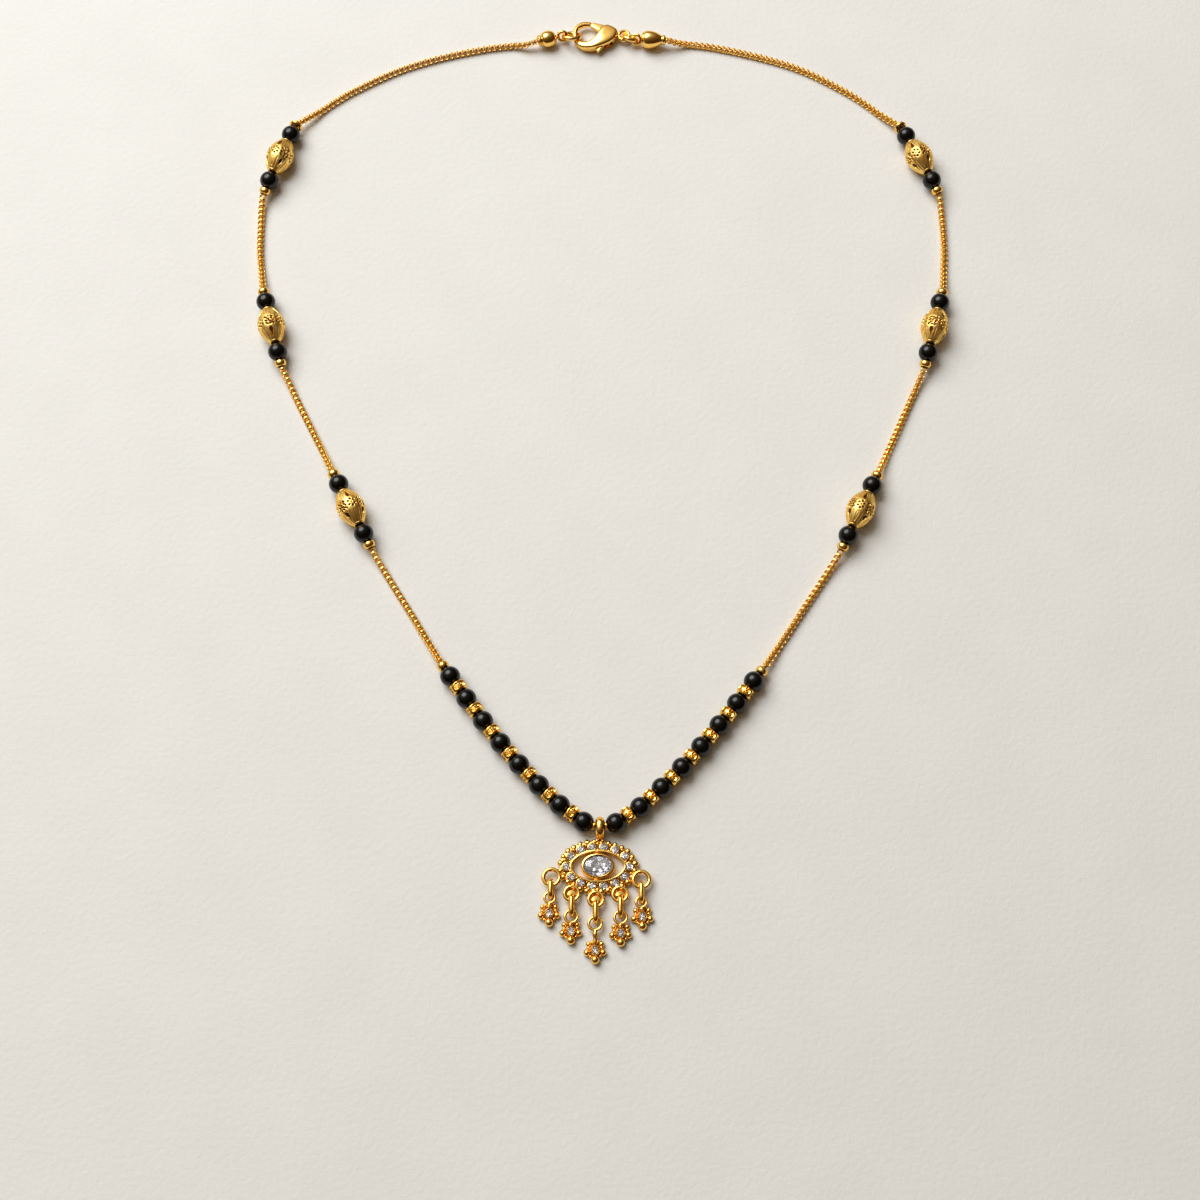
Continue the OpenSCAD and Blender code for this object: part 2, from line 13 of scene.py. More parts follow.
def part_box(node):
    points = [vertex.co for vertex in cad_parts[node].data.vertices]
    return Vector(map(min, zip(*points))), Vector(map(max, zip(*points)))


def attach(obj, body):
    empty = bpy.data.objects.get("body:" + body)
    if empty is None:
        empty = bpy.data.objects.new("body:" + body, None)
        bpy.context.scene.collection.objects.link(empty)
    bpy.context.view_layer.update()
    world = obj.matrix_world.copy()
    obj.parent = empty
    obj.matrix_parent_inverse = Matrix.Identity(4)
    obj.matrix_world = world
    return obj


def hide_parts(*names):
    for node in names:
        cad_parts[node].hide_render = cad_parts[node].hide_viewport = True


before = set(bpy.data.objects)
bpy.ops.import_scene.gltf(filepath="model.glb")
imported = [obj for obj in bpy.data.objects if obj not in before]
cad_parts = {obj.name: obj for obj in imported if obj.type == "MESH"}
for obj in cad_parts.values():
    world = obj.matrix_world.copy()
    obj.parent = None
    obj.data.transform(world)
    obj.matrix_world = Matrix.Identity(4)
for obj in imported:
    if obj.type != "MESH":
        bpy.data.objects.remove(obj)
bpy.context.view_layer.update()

MM = 0.001
SEED = 7
RANDOM = random.Random(SEED)
TINY = 1e-6
TURN = 2 * math.pi
QUARTER = math.pi / 2
UP = np.array([0.0, 0.0, 1.0])
# Axes that stand a flat ring on its edge, with its length along y
ON_EDGE = [[0, 1, 0], [0, 0, 1], [1, 0, 0]]

# Beads, along and across the thread
BEAD_R = 2.0
BEAD_HALF = 1.8
BORE_R = 0.55
OVAL_R = 2.85
OVAL_HALF = 4.15
THREAD_R = 0.2
# How much shade is painted on the gold in its recesses, 0 to 1
PAINTED_RECESS_SHADE = 0.75


def unit(v):
    v = np.asarray(v, float)
    return v / np.linalg.norm(v, axis=-1, keepdims=True)


def smooth_step(x):
    x = np.clip(x, 0, 1)
    return x * x * (3 - 2 * x)


def soft_edge(inside, width):
    """1 inside an edge and 0 outside it, eased over a width. inside is the distance in from the edge."""
    return smooth_step(inside / width + 0.5)


def smooth_curve(rows, steps):
    """The rows of a table with steps - 1 more rows between each two, on a smooth curve through them."""
    rows = np.asarray(rows, float)
    last = len(rows) - 1
    out = []
    for i in range(last):
        a, b, c, d = rows[max(i - 1, 0)], rows[i], rows[i + 1], rows[min(i + 2, last)]
        for t in np.arange(steps) / steps:
            square, cube = t * t, t * t * t
            out.append(0.5 * (2 * b + (c - a) * t + (2 * a - 5 * b + 4 * c - d) * square
                              + (3 * b - a - 3 * c + d) * cube))
    return np.array(out + [rows[-1]])


def length_along(path):
    """How far along a path each of its points is."""
    return np.append(0, np.cumsum(np.linalg.norm(np.diff(path, axis=0), axis=1)))


def points_at(path, length, at):
    """The points of a path at some lengths along it."""
    return np.stack([np.interp(at, length, column) for column in path.T], axis=1)


def even_points(path, count, start):
    """count points at equal steps along a closed flat path, the first one start steps along."""
    loop = np.vstack([path, path[:1]])
    length = length_along(loop)
    return points_at(loop, length, ((np.arange(count) + start) / count % 1) * length[-1])


def angles(sides, shift=0.0):
    """Even angles round a circle, the first one shift steps from the x axis."""
    return TURN * (np.arange(sides) + shift) / sides


def signed_power(x, power):
    return np.sign(x) * np.abs(x) ** power


def round_points(r, a, z):
    """Points by their distance from the z axis, their angle and their height."""
    return np.stack(np.broadcast_arrays(r * np.cos(a), r * np.sin(a), z), axis=-1)


# Outlines, seen from +z and going left about
def circle(r, sides, squash=1.0):
    a = angles(sides)
    return np.stack([r * np.cos(a), r * squash * np.sin(a)], axis=1)


def ellipse(w, h, sides, pointed=0.0):
    """An ellipse, with its two ends drawn out a little where pointed is over 0."""
    x, y = circle(1, sides).T
    return np.stack([x * w / 2, y * h / 2 * (1 - pointed * np.abs(x) ** 3)], axis=1)


def drawn_out(a, corner):
    """How far out an outline is at an angle: 1 all round at corner 2, and nearer a lozenge under that."""
    return (np.abs(np.cos(a)) ** corner + np.abs(np.sin(a)) ** corner) ** (-1 / corner)


def stadium(half_x, half_y, r, steps):
    """A rectangle with round corners."""
    out = []
    for k, (x, y) in enumerate([(1, 1), (-1, 1), (-1, -1), (1, -1)]):
        for a in (k + np.arange(steps + 1) / steps) * QUARTER:
            out.append([x * (half_x - r) + r * math.cos(a), y * (half_y - r) + r * math.sin(a)])
    return np.array([p for p, q in zip(out, out[1:] + out[:1]) if math.dist(p, q) > TINY])


def round_corners(outline, r, steps):
    """An outline with each corner replaced by an arc that starts r from it, or less on a short side."""
    outline = np.asarray(outline, float)
    most = 0.45
    out = []
    for i, corner in enumerate(outline):
        before, after = outline[i - 1] - corner, outline[(i + 1) % len(outline)] - corner
        start = corner + min(r, most * np.linalg.norm(before)) * unit(before)
        end = corner + min(r, most * np.linalg.norm(after)) * unit(after)
        for t in np.arange(steps + 1) / steps:
            out.append((1 - t) ** 2 * start + 2 * t * (1 - t) * corner + t * t * end)
    return np.array(out)


# Shapes
class Shape:
    """Points, and faces as arrays of point numbers. painted_shade is how much shade is painted on each point,
    0 to 1.
    The groups of faces named in backed take the material after the shape's own."""

    def __init__(self, points, faces, flat=False, painted_shade=0.0, backed=()):
        self.points = np.asarray(points, float).reshape(-1, 3)
        self.faces = [np.asarray(f, int) for f in faces]
        self.flat = flat
        self.painted_shade = np.zeros(len(self.points)) + painted_shade
        self.backed = backed

    def with_points(self, points):
        return Shape(points, self.faces, self.flat, self.painted_shade, self.backed)

    def turned(self, axes, at):
        """The shape with its own x, y and z laid along the rows of axes, and then moved to at."""
        return self.with_points(self.points @ np.asarray(axes, float) + np.asarray(at, float))

    def moved(self, x=0.0, y=0.0, z=0.0):
        return self.with_points(self.points + [x, y, z])

    def shade_painted_on(self, painted_shade):
        """The shape with shade painted on it, by one amount for all its points or one for each."""
        return Shape(self.points, self.faces, self.flat, painted_shade, self.backed)


def axes_along(direction, roll):
    """Three rows for Shape.turned that lay a shape's own z along direction."""
    z = unit(direction)
    x = np.cross(UP, z)
    if np.linalg.norm(x) < TINY:
        x = np.array([1.0, 0.0, 0.0])
    x = unit(x)
    y = np.cross(z, x)
    c, s = math.cos(roll), math.sin(roll)
    return np.array([c * x + s * y, c * y - s * x, z])


def placed(shapes, direction, at, roll=0.0):
    """Shapes with their own z laid along direction, moved to at."""
    axes = axes_along(direction, roll)
    return [s.turned(axes, at) for s in shapes]


def grid(rings, wrap):
    """A skin over rings of points. wrap joins the last ring to the first."""
    rings = np.asarray(rings, float)
    rows, columns = rings.shape[:2]
    number = np.arange(rows * columns).reshape(rows, columns)
    r = np.arange(rows if wrap else rows - 1)
    c = np.arange(columns)
    ahead = (c + 1) % columns
    row, above = number[r], number[(r + 1) % rows]
    quads = np.stack([row[:, c], row[:, ahead], above[:, ahead], above[:, c]], axis=-1).reshape(-1, 4)
    return Shape(rings, [quads])


def closed_ends(shape, columns):
    """Adds a flat face over the first and the last ring of a skin."""
    last = len(shape.points) - columns
    ends = np.array([np.arange(columns)[::-1], last + np.arange(columns)])
    return Shape(shape.points, shape.faces + [ends])


def with_poles(shape, columns, start, end):
    """Adds a fan from the first ring of a skin to a point, and one from its last ring to another point."""
    n = len(shape.points)
    k = np.arange(columns)
    ahead = (k + 1) % columns
    first = np.stack([ahead, k, np.full(columns, n)], axis=1)
    last = np.stack([n - columns + k, n - columns + ahead, np.full(columns, n + 1)], axis=1)
    return Shape(np.vstack([shape.points, start, end]), shape.faces + [first, last])


def round_ends(shape, columns):
    """Closes a skin's first and last ring, which are small, over their middles."""
    return with_poles(shape, columns, shape.points[:columns].mean(0), shape.points[-columns:].mean(0))


def lathe(profile, sides, ring=False):
    """Turns (radius, height) points about z.
    A ring's profile is a loop, and any other starts and ends on the axis."""
    profile = np.asarray(profile, float)
    body = profile if ring else profile[1:-1]
    shape = grid(round_points(body[:, :1], angles(sides), body[:, 1:]), ring)
    if ring:
        return shape
    return with_poles(shape, sides, [0, 0, profile[0][1]], [0, 0, profile[-1][1]])


def rod(r, half, sides):
    """A round bar along z, from -half to half."""
    return lathe([[0, -half], [r, -half], [r, half], [0, half]], sides)


def ball(r, sides, rings, squash=1.0):
    a = math.pi * np.arange(rings + 1) / rings
    return lathe(np.stack([r * np.sin(a), -r * squash * np.cos(a)], axis=1), sides)


def band(path, section, closed=True):
    """Carries a section round a flat path. The section's first number points outwards, its second up."""
    path = np.column_stack([path, np.zeros(len(path))])
    section = np.asarray(section, float)
    if closed:
        along = np.roll(path, -1, axis=0) - np.roll(path, 1, axis=0)
    else:
        along = np.gradient(path, axis=0)
    out = unit(np.cross(unit(along), UP))
    shape = grid(path[:, None] + section[:, :1] * out[:, None] + section[:, 1:] * UP, closed)
    return shape if closed else closed_ends(shape, len(section))


def torus(r, wire, sides, wire_sides, squash=1.0):
    return band(circle(r, sides), circle(wire, wire_sides, squash))


def tube(path, radius, sides):
    """A round bar along a path that is nowhere upright. radius is one number or one for each point."""
    along = unit(np.gradient(path, axis=0))
    side = unit(np.cross(along, UP))
    top = np.cross(side, along)
    r = np.broadcast_to(radius, (len(path),))[:, None, None]
    c = circle(1, sides)
    points = path[:, None] + r * (c[None, :, :1] * side[:, None] + c[None, :, 1:] * top[:, None])
    return round_ends(grid(points, False), sides)


def taper(start, end, radii, sides):
    """A straight round bar that goes through some radii from its start to its end."""
    return tube(np.linspace(start, end, len(radii)), radii, sides)


def slab(outline, bottom, top, edge, steps=3):
    """A flat-faced plate over an outline, with its edges rounded by edge."""
    outline = np.asarray(outline, float)
    along = unit(np.roll(outline, -1, axis=0) - np.roll(outline, 1, axis=0))
    out = np.stack([along[:, 1], -along[:, 0]], axis=1)
    a = np.arange(steps + 1) / steps * QUARTER
    lower = [(edge * (1 - math.sin(x)), bottom + edge * (1 - math.cos(x))) for x in a]
    upper = [(edge * (1 - math.sin(x)), top - edge * (1 - math.cos(x))) for x in a[::-1]]
    rings = lower + upper if edge > 0 else [(0, bottom), (0, top)]
    points = [np.column_stack([outline - inset * out, np.full(len(outline), z)]) for inset, z in rings]
    return closed_ends(grid(points, False), len(outline))


def eye_ring(inner, outer, rows):
    """A ring between two outlines. Each row is how far out it is, 0 to 1, and its height."""
    rings = [np.column_stack([inner + (outer - inner) * s, np.full(len(inner), z)]) for s, z in rows]
    return grid(rings, True)


def bored(outside, depth, bore, dark):
    """A bead's skin from its rows of outside points, each with how much shade is painted on it, and the bore
    through it.
    The bore is (radius, height) from the rim in, with the shade painted on each row, and the same at the
    other end."""
    around = angles(outside.shape[1])
    inside = [round_points(r, around, h) for r, h in bore + [(r, -h) for r, h in bore[::-1]]]
    painted_shade = np.append(depth, np.repeat(dark + dark[::-1], len(around)))
    return grid(np.concatenate([outside, inside]), True).shade_painted_on(painted_shade)


def granule(r, x, y, z, sides=20, rings=12, squash=1.0):
    """A ball with painted shade from a little above its middle down, where shade falls between granules."""
    shape = ball(r, sides, rings, squash)
    height = shape.points[:, 2] / (r * squash)
    return shape.shade_painted_on(PAINTED_RECESS_SHADE * np.clip((0.4 - height) / 0.6, 0, 1)).moved(x, y, z)


# Pieces
def mesh_of(name, painted, sharp=40.0):
    """A mesh in metres from (material, shapes) pairs."""
    points, shade_amounts, faces, paints, smooth = [], [], [], [], []
    start = 0
    for paint, (_, shapes) in enumerate(painted):
        for s in shapes:
            points.append(s.points)
            shade_amounts.append(s.painted_shade)
            for k, group in enumerate(s.faces):
                faces += (group + start).tolist()
                paints += [paint + (k in s.backed)] * len(group)
                smooth += [not s.flat] * len(group)
            start += len(s.points)
    mesh = bpy.data.meshes.new(name)
    mesh.from_pydata(np.vstack(points) * MM, [], faces)
    for material, _ in painted:
        mesh.materials.append(material)
    mesh.polygons.foreach_set("material_index", paints)
    # How much shade is painted on each point, kept as an attribute that the gold materials read
    painted_shade = np.concatenate(shade_amounts)
    if painted_shade.any():
        attribute = mesh.attributes.new("painted_shade", "FLOAT", "POINT")
        attribute.data.foreach_set("value", painted_shade.astype(np.float32))
    mesh.validate()
    skin = bmesh.new()
    skin.from_mesh(mesh)
    bmesh.ops.recalc_face_normals(skin, faces=skin.faces)
    skin.to_mesh(mesh)
    skin.free()
    mesh.set_sharp_from_angle(angle=math.radians(sharp))
    mesh.polygons.foreach_set("use_smooth", smooth)
    return mesh


def add_object(name, data):
    thing = bpy.data.objects.new(name, data)
    bpy.context.scene.collection.objects.link(thing)
    return thing


def add_piece(name, painted, nodes=(), sharp=40.0):
    """Makes one visible piece of the necklace, which stands for the CAD nodes it is given."""
    finish_piece(add_object(name, mesh_of(name, painted, sharp)), nodes, "necklace")


def finish_piece(piece, nodes, body):
    """Tells the frame which body a piece rides on and the CAD nodes it stands for."""
    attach(piece, body)
    if nodes:
        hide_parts(*nodes)


# Places and directions that are read from the CAD model
def node_points(name):
    """A CAD node's points, in millimetres."""
    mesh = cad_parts[name].data
    points = np.zeros(len(mesh.vertices) * 3, np.float32)
    mesh.vertices.foreach_get("co", points)
    return points.reshape(-1, 3).astype(float) / MM


def node_middle(name):
    low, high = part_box(name)
    return (np.array(low) + np.array(high)) / 2 / MM


def turned_axis(name):
    """The axis of a turned node: the one direction in which its surface spreads unlike in the other two."""
    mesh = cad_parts[name].data
    points = node_points(name) - node_middle(name)
    mesh.calc_loop_triangles()
    corners = np.array([t.vertices for t in mesh.loop_triangles])
    a, b, c = points[corners[:, 0]], points[corners[:, 1]], points[corners[:, 2]]
    area = np.linalg.norm(np.cross(b - a, c - a), axis=1)
    middle = (a + b + c) / 3
    values, vectors = np.linalg.eigh((middle * area[:, None]).T @ middle)
    return vectors[:, np.argmax(np.abs(values - np.median(values)))]


def pointing(axis, towards):
    return axis if np.dot(axis, towards) > 0 else -axis


def tube_route(name):
    """The middle line of a CAD tube: the middles of its rings of points, from one end to the other."""
    same_ring = 0.6
    points = node_points(name)
    near = np.linalg.norm(points[:, None] - points[None], axis=2) < same_ring
    left = set(range(len(points)))
    middles = []
    while left:
        group, front = set(), {min(left)}
        while front:
            group |= front
            front = set(np.nonzero(near[list(front)].any(axis=0))[0]) - group
        left -= group
        ring = points[sorted(group)]
        middles.append((ring.min(0) + ring.max(0)) / 2)
    middles = np.array(middles)
    route = [int(np.argmax(np.linalg.norm(middles - middles.mean(0), axis=1)))]
    while len(route) < len(middles):
        far = np.linalg.norm(middles - middles[route[-1]], axis=1)
        far[route] = np.inf
        route.append(int(np.argmin(far)))
    return middles[route]


# Materials
GOLD_BRIGHT = (1.0, 0.67, 0.2)
GOLD_DEEP = (1.0, 0.55, 0.1)
GOLD_PALE = (1.0, 0.73, 0.25)
GOLD_EDGE = (1.0, 0.8, 0.45, 1.0)
# Painted shade in recesses: the colour and roughness that the gold turns to where shade is painted
RECESS_SHADE_TONE = (0.12, 0.03, 0.004)
RECESS_SHADE_ROUGH = (0.5, 0.5, 0.5)
BLACK_LOW = (0.001, 0.001, 0.001)
BLACK_HIGH = (0.003, 0.0028, 0.0026)
CLEAR_LOW = (0.95, 0.95, 1.0)
CLEAR_HIGH = (1.0, 1.0, 1.0)
FOIL_LOW = (0.86, 0.85, 0.9)
FOIL_HIGH = (0.98, 0.97, 1.0)
THREAD_DARK = (0.16, 0.09, 0.03)
THREAD_LIGHT = (0.4, 0.26, 0.1)
FLOOR_LOW = (0.76, 0.75, 0.722)
FLOOR_HIGH = (0.78, 0.77, 0.742)


def set_inputs(node, values):
    for name, value in values.items():
        node.inputs[name].default_value = value


def new_material(name, values):
    """A material of one shader, some of whose inputs are set to values."""
    material = bpy.data.materials.new(name)
    material.use_nodes = True
    tree = material.node_tree
    tree.nodes.clear()
    output = tree.nodes.new("ShaderNodeOutputMaterial")
    shader = tree.nodes.new("ShaderNodeBsdfPrincipled")
    tree.links.new(shader.outputs["BSDF"], output.inputs["Surface"])
    set_inputs(shader, values)
    return material, tree, shader


def noise(tree, scale, detail=3.0, roughness=0.55, stretch=None):
    """A noise texture in the frame's own coordinates. scale is in cells for each metre."""
    place = tree.nodes.new("ShaderNodeTexCoord").outputs["Object"]
    texture = tree.nodes.new("ShaderNodeTexNoise")
    set_inputs(texture, {"Scale": scale, "Detail": detail, "Roughness": roughness})
    if stretch:
        mapping = tree.nodes.new("ShaderNodeMapping")
        set_inputs(mapping, {"Scale": stretch})
        tree.links.new(place, mapping.inputs["Vector"])
        place = mapping.outputs["Vector"]
    tree.links.new(place, texture.inputs["Vector"])
    return texture.outputs["Fac"]


def ramp(tree, value, stops):
    """A colour ramp with (position, colour) stops, where a colour is three numbers or one grey."""
    node = tree.nodes.new("ShaderNodeValToRGB")
    elements = node.color_ramp.elements
    while len(elements) < len(stops):
        elements.new(0.5)
    for element, (position, colour) in zip(elements, stops):
        element.position = position
        rgb = (colour,) * 3 if isinstance(colour, float) else colour
        element.color = (*rgb, 1.0)
    tree.links.new(value, node.inputs["Fac"])
    return node.outputs["Color"]


def mix(tree, amount, a, b):
    """From a to b by amount. b is a colour of three numbers."""
    node = tree.nodes.new("ShaderNodeMix")
    node.data_type = "RGBA"
    tree.links.new(amount, node.inputs["Factor"])
    tree.links.new(a, node.inputs["A"])
    node.inputs["B"].default_value = (*b, 1.0)
    return node.outputs["Result"]


def vary(tree, shader, name, scale, *stops, detail=3.0):
    """Lets one of the shader's inputs wander over the stops of a ramp, by a noise texture."""
    tree.links.new(ramp(tree, noise(tree, scale, detail), stops), shader.inputs[name])


def bump(tree, shader, height, strength, distance):
    node = tree.nodes.new("ShaderNodeBump")
    set_inputs(node, {"Strength": strength, "Distance": distance})
    tree.links.new(height, node.inputs["Height"])
    tree.links.new(node.outputs["Normal"], shader.inputs["Normal"])


def gold_material(name, rough=(0.07, 0.14), painted_recesses=False, tones=(GOLD_DEEP, GOLD_BRIGHT)):
    """Lacquered yellow gold: slightly uneven tone and polish, fine waves, and painted shade in recesses where
    a piece's points carry it.
    """
    material, tree, shader = new_material(name, {
        "Metallic": 1.0, "Specular Tint": GOLD_EDGE, "Coat Weight": 0.15, "Coat Roughness": 0.16
    })
    tone = ramp(tree, noise(tree, 900.0), [(0.3, tones[0]), (0.7, tones[1])])
    polish = ramp(tree, noise(tree, 2600.0, 4.0), [(0.3, rough[0]), (0.75, rough[1])])
    # Painted shade: the gold turns dark brown and rougher as far as the points' painted shade goes
    if painted_recesses:
        depth = tree.nodes.new("ShaderNodeAttribute")
        depth.attribute_name = "painted_shade"
        dark = ramp(tree, depth.outputs["Fac"], [(0.3, 0.0), (0.85, 1.0)])
        tone = mix(tree, dark, tone, RECESS_SHADE_TONE)
        polish = mix(tree, dark, polish, RECESS_SHADE_ROUGH)
    tree.links.new(tone, shader.inputs["Base Color"])
    tree.links.new(polish, shader.inputs["Roughness"])
    bump(tree, shader, noise(tree, 1500.0, 2.0), 0.25, 0.00002)
    return material


def black_glass_material():
    """Glossy black glass with a faint unevenness in its polish."""
    material, tree, shader = new_material("black_glass", {"IOR": 1.5, "Specular IOR Level": 0.32})
    vary(tree, shader, "Base Color", 700.0, (0.35, BLACK_LOW), (0.7, BLACK_HIGH))
    vary(tree, shader, "Roughness", 1800.0, (0.3, 0.03), (0.75, 0.06), detail=4.0)
    bump(tree, shader, noise(tree, 900.0, 2.0), 0.2, 0.00002)
    return material


def crystal_material():
    """A clear colourless stone, with faint haze."""
    material, tree, shader = new_material("clear_stone", {"IOR": 1.9, "Transmission Weight": 0.9})
    vary(tree, shader, "Base Color", 1200.0, (0.3, CLEAR_LOW), (0.7, CLEAR_HIGH))
    vary(tree, shader, "Roughness", 2500.0, (0.3, 0.0), (0.8, 0.04))
    return material


def foil_material():
    """The silvered back of a stone."""
    material, tree, shader = new_material("stone_foil", {"Metallic": 1.0})
    vary(tree, shader, "Base Color", 1600.0, (0.3, FOIL_LOW), (0.7, FOIL_HIGH))
    vary(tree, shader, "Roughness", 2400.0, (0.3, 0.14), (0.7, 0.26))
    return material


def thread_material():
    """Fine twisted beading thread, brown-gold."""
    material, tree, shader = new_material("thread", {"Roughness": 0.55})
    vary(tree, shader, "Base Color", 6000.0, (0.3, THREAD_DARK), (0.7, THREAD_LIGHT))
    bump(tree, shader, noise(tree, 5000.0, 2.0, stretch=(1.0, 3.0, 1.0)), 0.5, 0.00005)
    return material


def floor_material():
    """Pale cream board with a faint soft grain."""
    material, tree, shader = new_material("floor_board", {"Roughness": 0.8, "Specular IOR Level": 0.25})
    vary(tree, shader, "Base Color", 60.0, (0.35, FLOOR_LOW), (0.65, FLOOR_HIGH), detail=5.0)
    bump(tree, shader, noise(tree, 900.0, 5.0, 0.6), 0.4, 0.00025)
    return material


GOLD = gold_material("polished_gold")
GOLD_OPENWORK = gold_material("openwork_gold", painted_recesses=True)
CHAIN_GOLD = gold_material("chain_gold", rough=(0.34, 0.42))
ENGRAVED_GOLD = gold_material("engraved_gold", (0.29, 0.37), painted_recesses=True, tones=(GOLD_DEEP, GOLD_PALE))
BLACK = black_glass_material()
CRYSTAL = crystal_material()
FOIL = foil_material()
THREAD = thread_material()


# Black glass beads
BEAD_LIP = 0.14


def bead_profile():
    """Half of a bead's section as a loop: its rounded outside, the lip of the hole and the hole's wall."""
    reach = BEAD_HALF - 0.03
    outside = [[math.sqrt(BEAD_R ** 2 - h * h), h] for h in np.linspace(-reach, reach, 25)]
    lip = BORE_R + BEAD_LIP
    top = [[lip + 0.1, BEAD_HALF], [lip, BEAD_HALF - 0.005], [BORE_R + 0.03, BEAD_HALF - 0.06]]
    inside = [[BORE_R, BEAD_HALF - 0.2], [BORE_R, -BEAD_HALF + 0.2]]
    bottom = [[r, -h] for r, h in top[::-1]]
    return outside + top + inside + bottom


def add_black_beads():
    shape = lathe(bead_profile(), 48, ring=True)
    for node in sorted(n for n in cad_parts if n.startswith("black_bead_")):
        number = node.split("_")[-1]
        bead = placed([shape], turned_axis(node), node_middle(node), roll=int(number))
        add_piece("glass_bead_" + number, [(BLACK, bead)], [node])


# Engraved oval beads: eight sectors of flowers and dashes on a middle band, and petals to each end
OVAL_SECTORS = 8
OVAL_SIDES = 208
OVAL_ROWS = 112
OVAL_RIM_R = 1.0
OVAL_MOUTH_R = 0.72
OVAL_STEP = 0.6
BAND_HALF = 1.3
PETAL_END = 3.75
BAND_DEPTH = 0.28
PETAL_DEPTH = 0.24
FLUTE_DEPTH = 0.03
FULL_DEPTH_R = 1.8
# One dash motif: each stroke's two ends and its width
DASHES = [
    (-0.8, 0.55, -0.4, 0.85, 0.34),
    (0.12, 0.78, 0.12, 0.78, 0.44),
    (0.62, 0.58, 0.86, 0.84, 0.32),
    (-0.86, -0.02, -0.52, 0.14, 0.36),
    (-0.1, 0.1, 0.36, 0.34, 0.32),
    (0.86, 0.1, 0.86, 0.1, 0.4),
    (-0.46, -0.46, 0.0, -0.3, 0.32),
    (0.5, -0.42, 0.62, -0.24, 0.36),
    (-0.86, -0.84, -0.62, -0.72, 0.38),
    (-0.1, -0.94, -0.1, -0.94, 0.38),
    (0.42, -0.96, 0.84, -0.76, 0.32),
]


def strokes(x, y, rows):
    """How deep a point is in straight strokes with round ends, 0 to 1. A row is two ends and a width."""
    depth = np.zeros_like(x)
    for x0, y0, x1, y1, width in rows:
        dx, dy = x1 - x0, y1 - y0
        t = np.clip(((x - x0) * dx + (y - y0) * dy) / max(dx * dx + dy * dy, TINY), 0, 1)
        far = np.hypot(x - x0 - t * dx, y - y0 - t * dy)
        depth = np.maximum(depth, soft_edge(width / 2 - far, 0.1))
    return depth


def flower_rows():
    """A dot in a ring of six short petals, as strokes."""
    rows = [(0, 0, 0, 0, 0.3)]
    for k in range(6):
        a = TURN * (k + 0.5) / 6
        x, y = 0.64 * math.cos(a), 0.72 * math.sin(a)
        rows.append((x, y, 1.1 * x, 1.1 * y, 0.42))
    return rows


def petal_depth(x, s, half_width, even):
    """Petals that run from the middle band to an end: a groove on each side, and a drop or a leaf inside."""
    side = half_width - np.abs(x)
    groove = 0.3 * soft_edge(0.08 - side, 0.12) * smooth_step((s - 0.02) / 0.1)
    if even:
        past_widest = s - 0.28
        width = 0.38 * np.sqrt(np.clip(1 - (past_widest / 0.24) ** 2, 0, 1))
        tail = 0.3 * np.clip(1 - past_widest / 0.6, 0, 1)
        width = np.where(past_widest > 0, np.maximum(width, tail), width)
        inner = soft_edge(width - np.abs(x), 0.1) * (s > 0.06) * (s < 0.84)
    else:
        bow = 0.32 * np.sin(math.pi * np.clip(s / 0.85, 0, 1)) * (1 - 0.55 * s)
        inner = 0.3 * soft_edge(0.05 - np.abs(np.abs(x) - bow), 0.08) * (s > 0.08) * (s < 0.84)
    return np.maximum(groove, inner) * smooth_step((1 - s) / 0.06)


def engraving(angle, z, s, radius):
    """Depth of an oval bead's engraving, 0 to 1. s is 0 at the middle band's edge, 1 at the petals' end."""
    cell = TURN / OVAL_SECTORS
    sector = np.floor(angle / cell).astype(int)
    x = (angle / cell - sector - 0.5) * cell * radius
    half_width = 0.5 * cell * radius
    even = sector % 2 == 0
    dashes = strokes(x, z * np.where(sector % 4 == 1, 1, -1), DASHES)
    middle = np.where(even, strokes(x, z, flower_rows()), dashes) * (np.abs(z) < BAND_HALF - 0.15)
    same = even == (z > 0)
    petals = np.where(same, petal_depth(x, s, half_width, True), petal_depth(x, s, half_width, False))
    line = 0.5 * soft_edge(0.05 - np.abs(np.abs(z) - PETAL_END - 0.1), 0.08)
    return np.maximum(np.where(s > 0, petals, middle), line)


def oval_shape(turn):
    """An oval bead along z with an engraving, and with shade painted into the mouth at each end. turn shifts
    the engraving round it.
    """
    rise = np.linspace(-1, 1, OVAL_ROWS)
    base = OVAL_RIM_R + (OVAL_R - OVAL_RIM_R) * np.cos(QUARTER * np.abs(rise)) ** 0.85
    a, z = np.meshgrid(angles(OVAL_SIDES), rise * OVAL_HALF)
    radius = np.broadcast_to(base[:, None], a.shape)
    s = (np.abs(z) - BAND_HALF) / (PETAL_END - BAND_HALF)
    depth = engraving(a + turn, z, s, radius)
    flute = FLUTE_DEPTH * np.cos(OVAL_SECTORS * (a + turn)) * np.sin(math.pi * np.clip(s, 0, 1))
    cut = np.where(s > 0, PETAL_DEPTH, BAND_DEPTH) * np.minimum(1, radius / FULL_DEPTH_R)
    mouth = [(0.18, 1), (0, 0.995), (-0.08, 0.97), (-0.1, 0.7)]
    bore = [(OVAL_MOUTH_R + out, part * OVAL_HALF) for out, part in mouth]
    # The engraving's depth also sets the shade painted into it, and shade is painted deepening into each
    # bore's mouth
    return bored(round_points(radius - cut * depth - np.abs(flute), a, z), depth, bore, [0, 0.2, 0.8, 1])


def add_oval_beads():
    for k in range(1, 7):
        node = f"oval_bead_{k}"
        axis = pointing(turned_axis(node), [0, 1, 0])
        bead = placed([oval_shape(OVAL_STEP * k)], axis, node_middle(node))
        add_piece(f"engraved_bead_{k}", [(ENGRAVED_GOLD, bead)], [node], sharp=60)


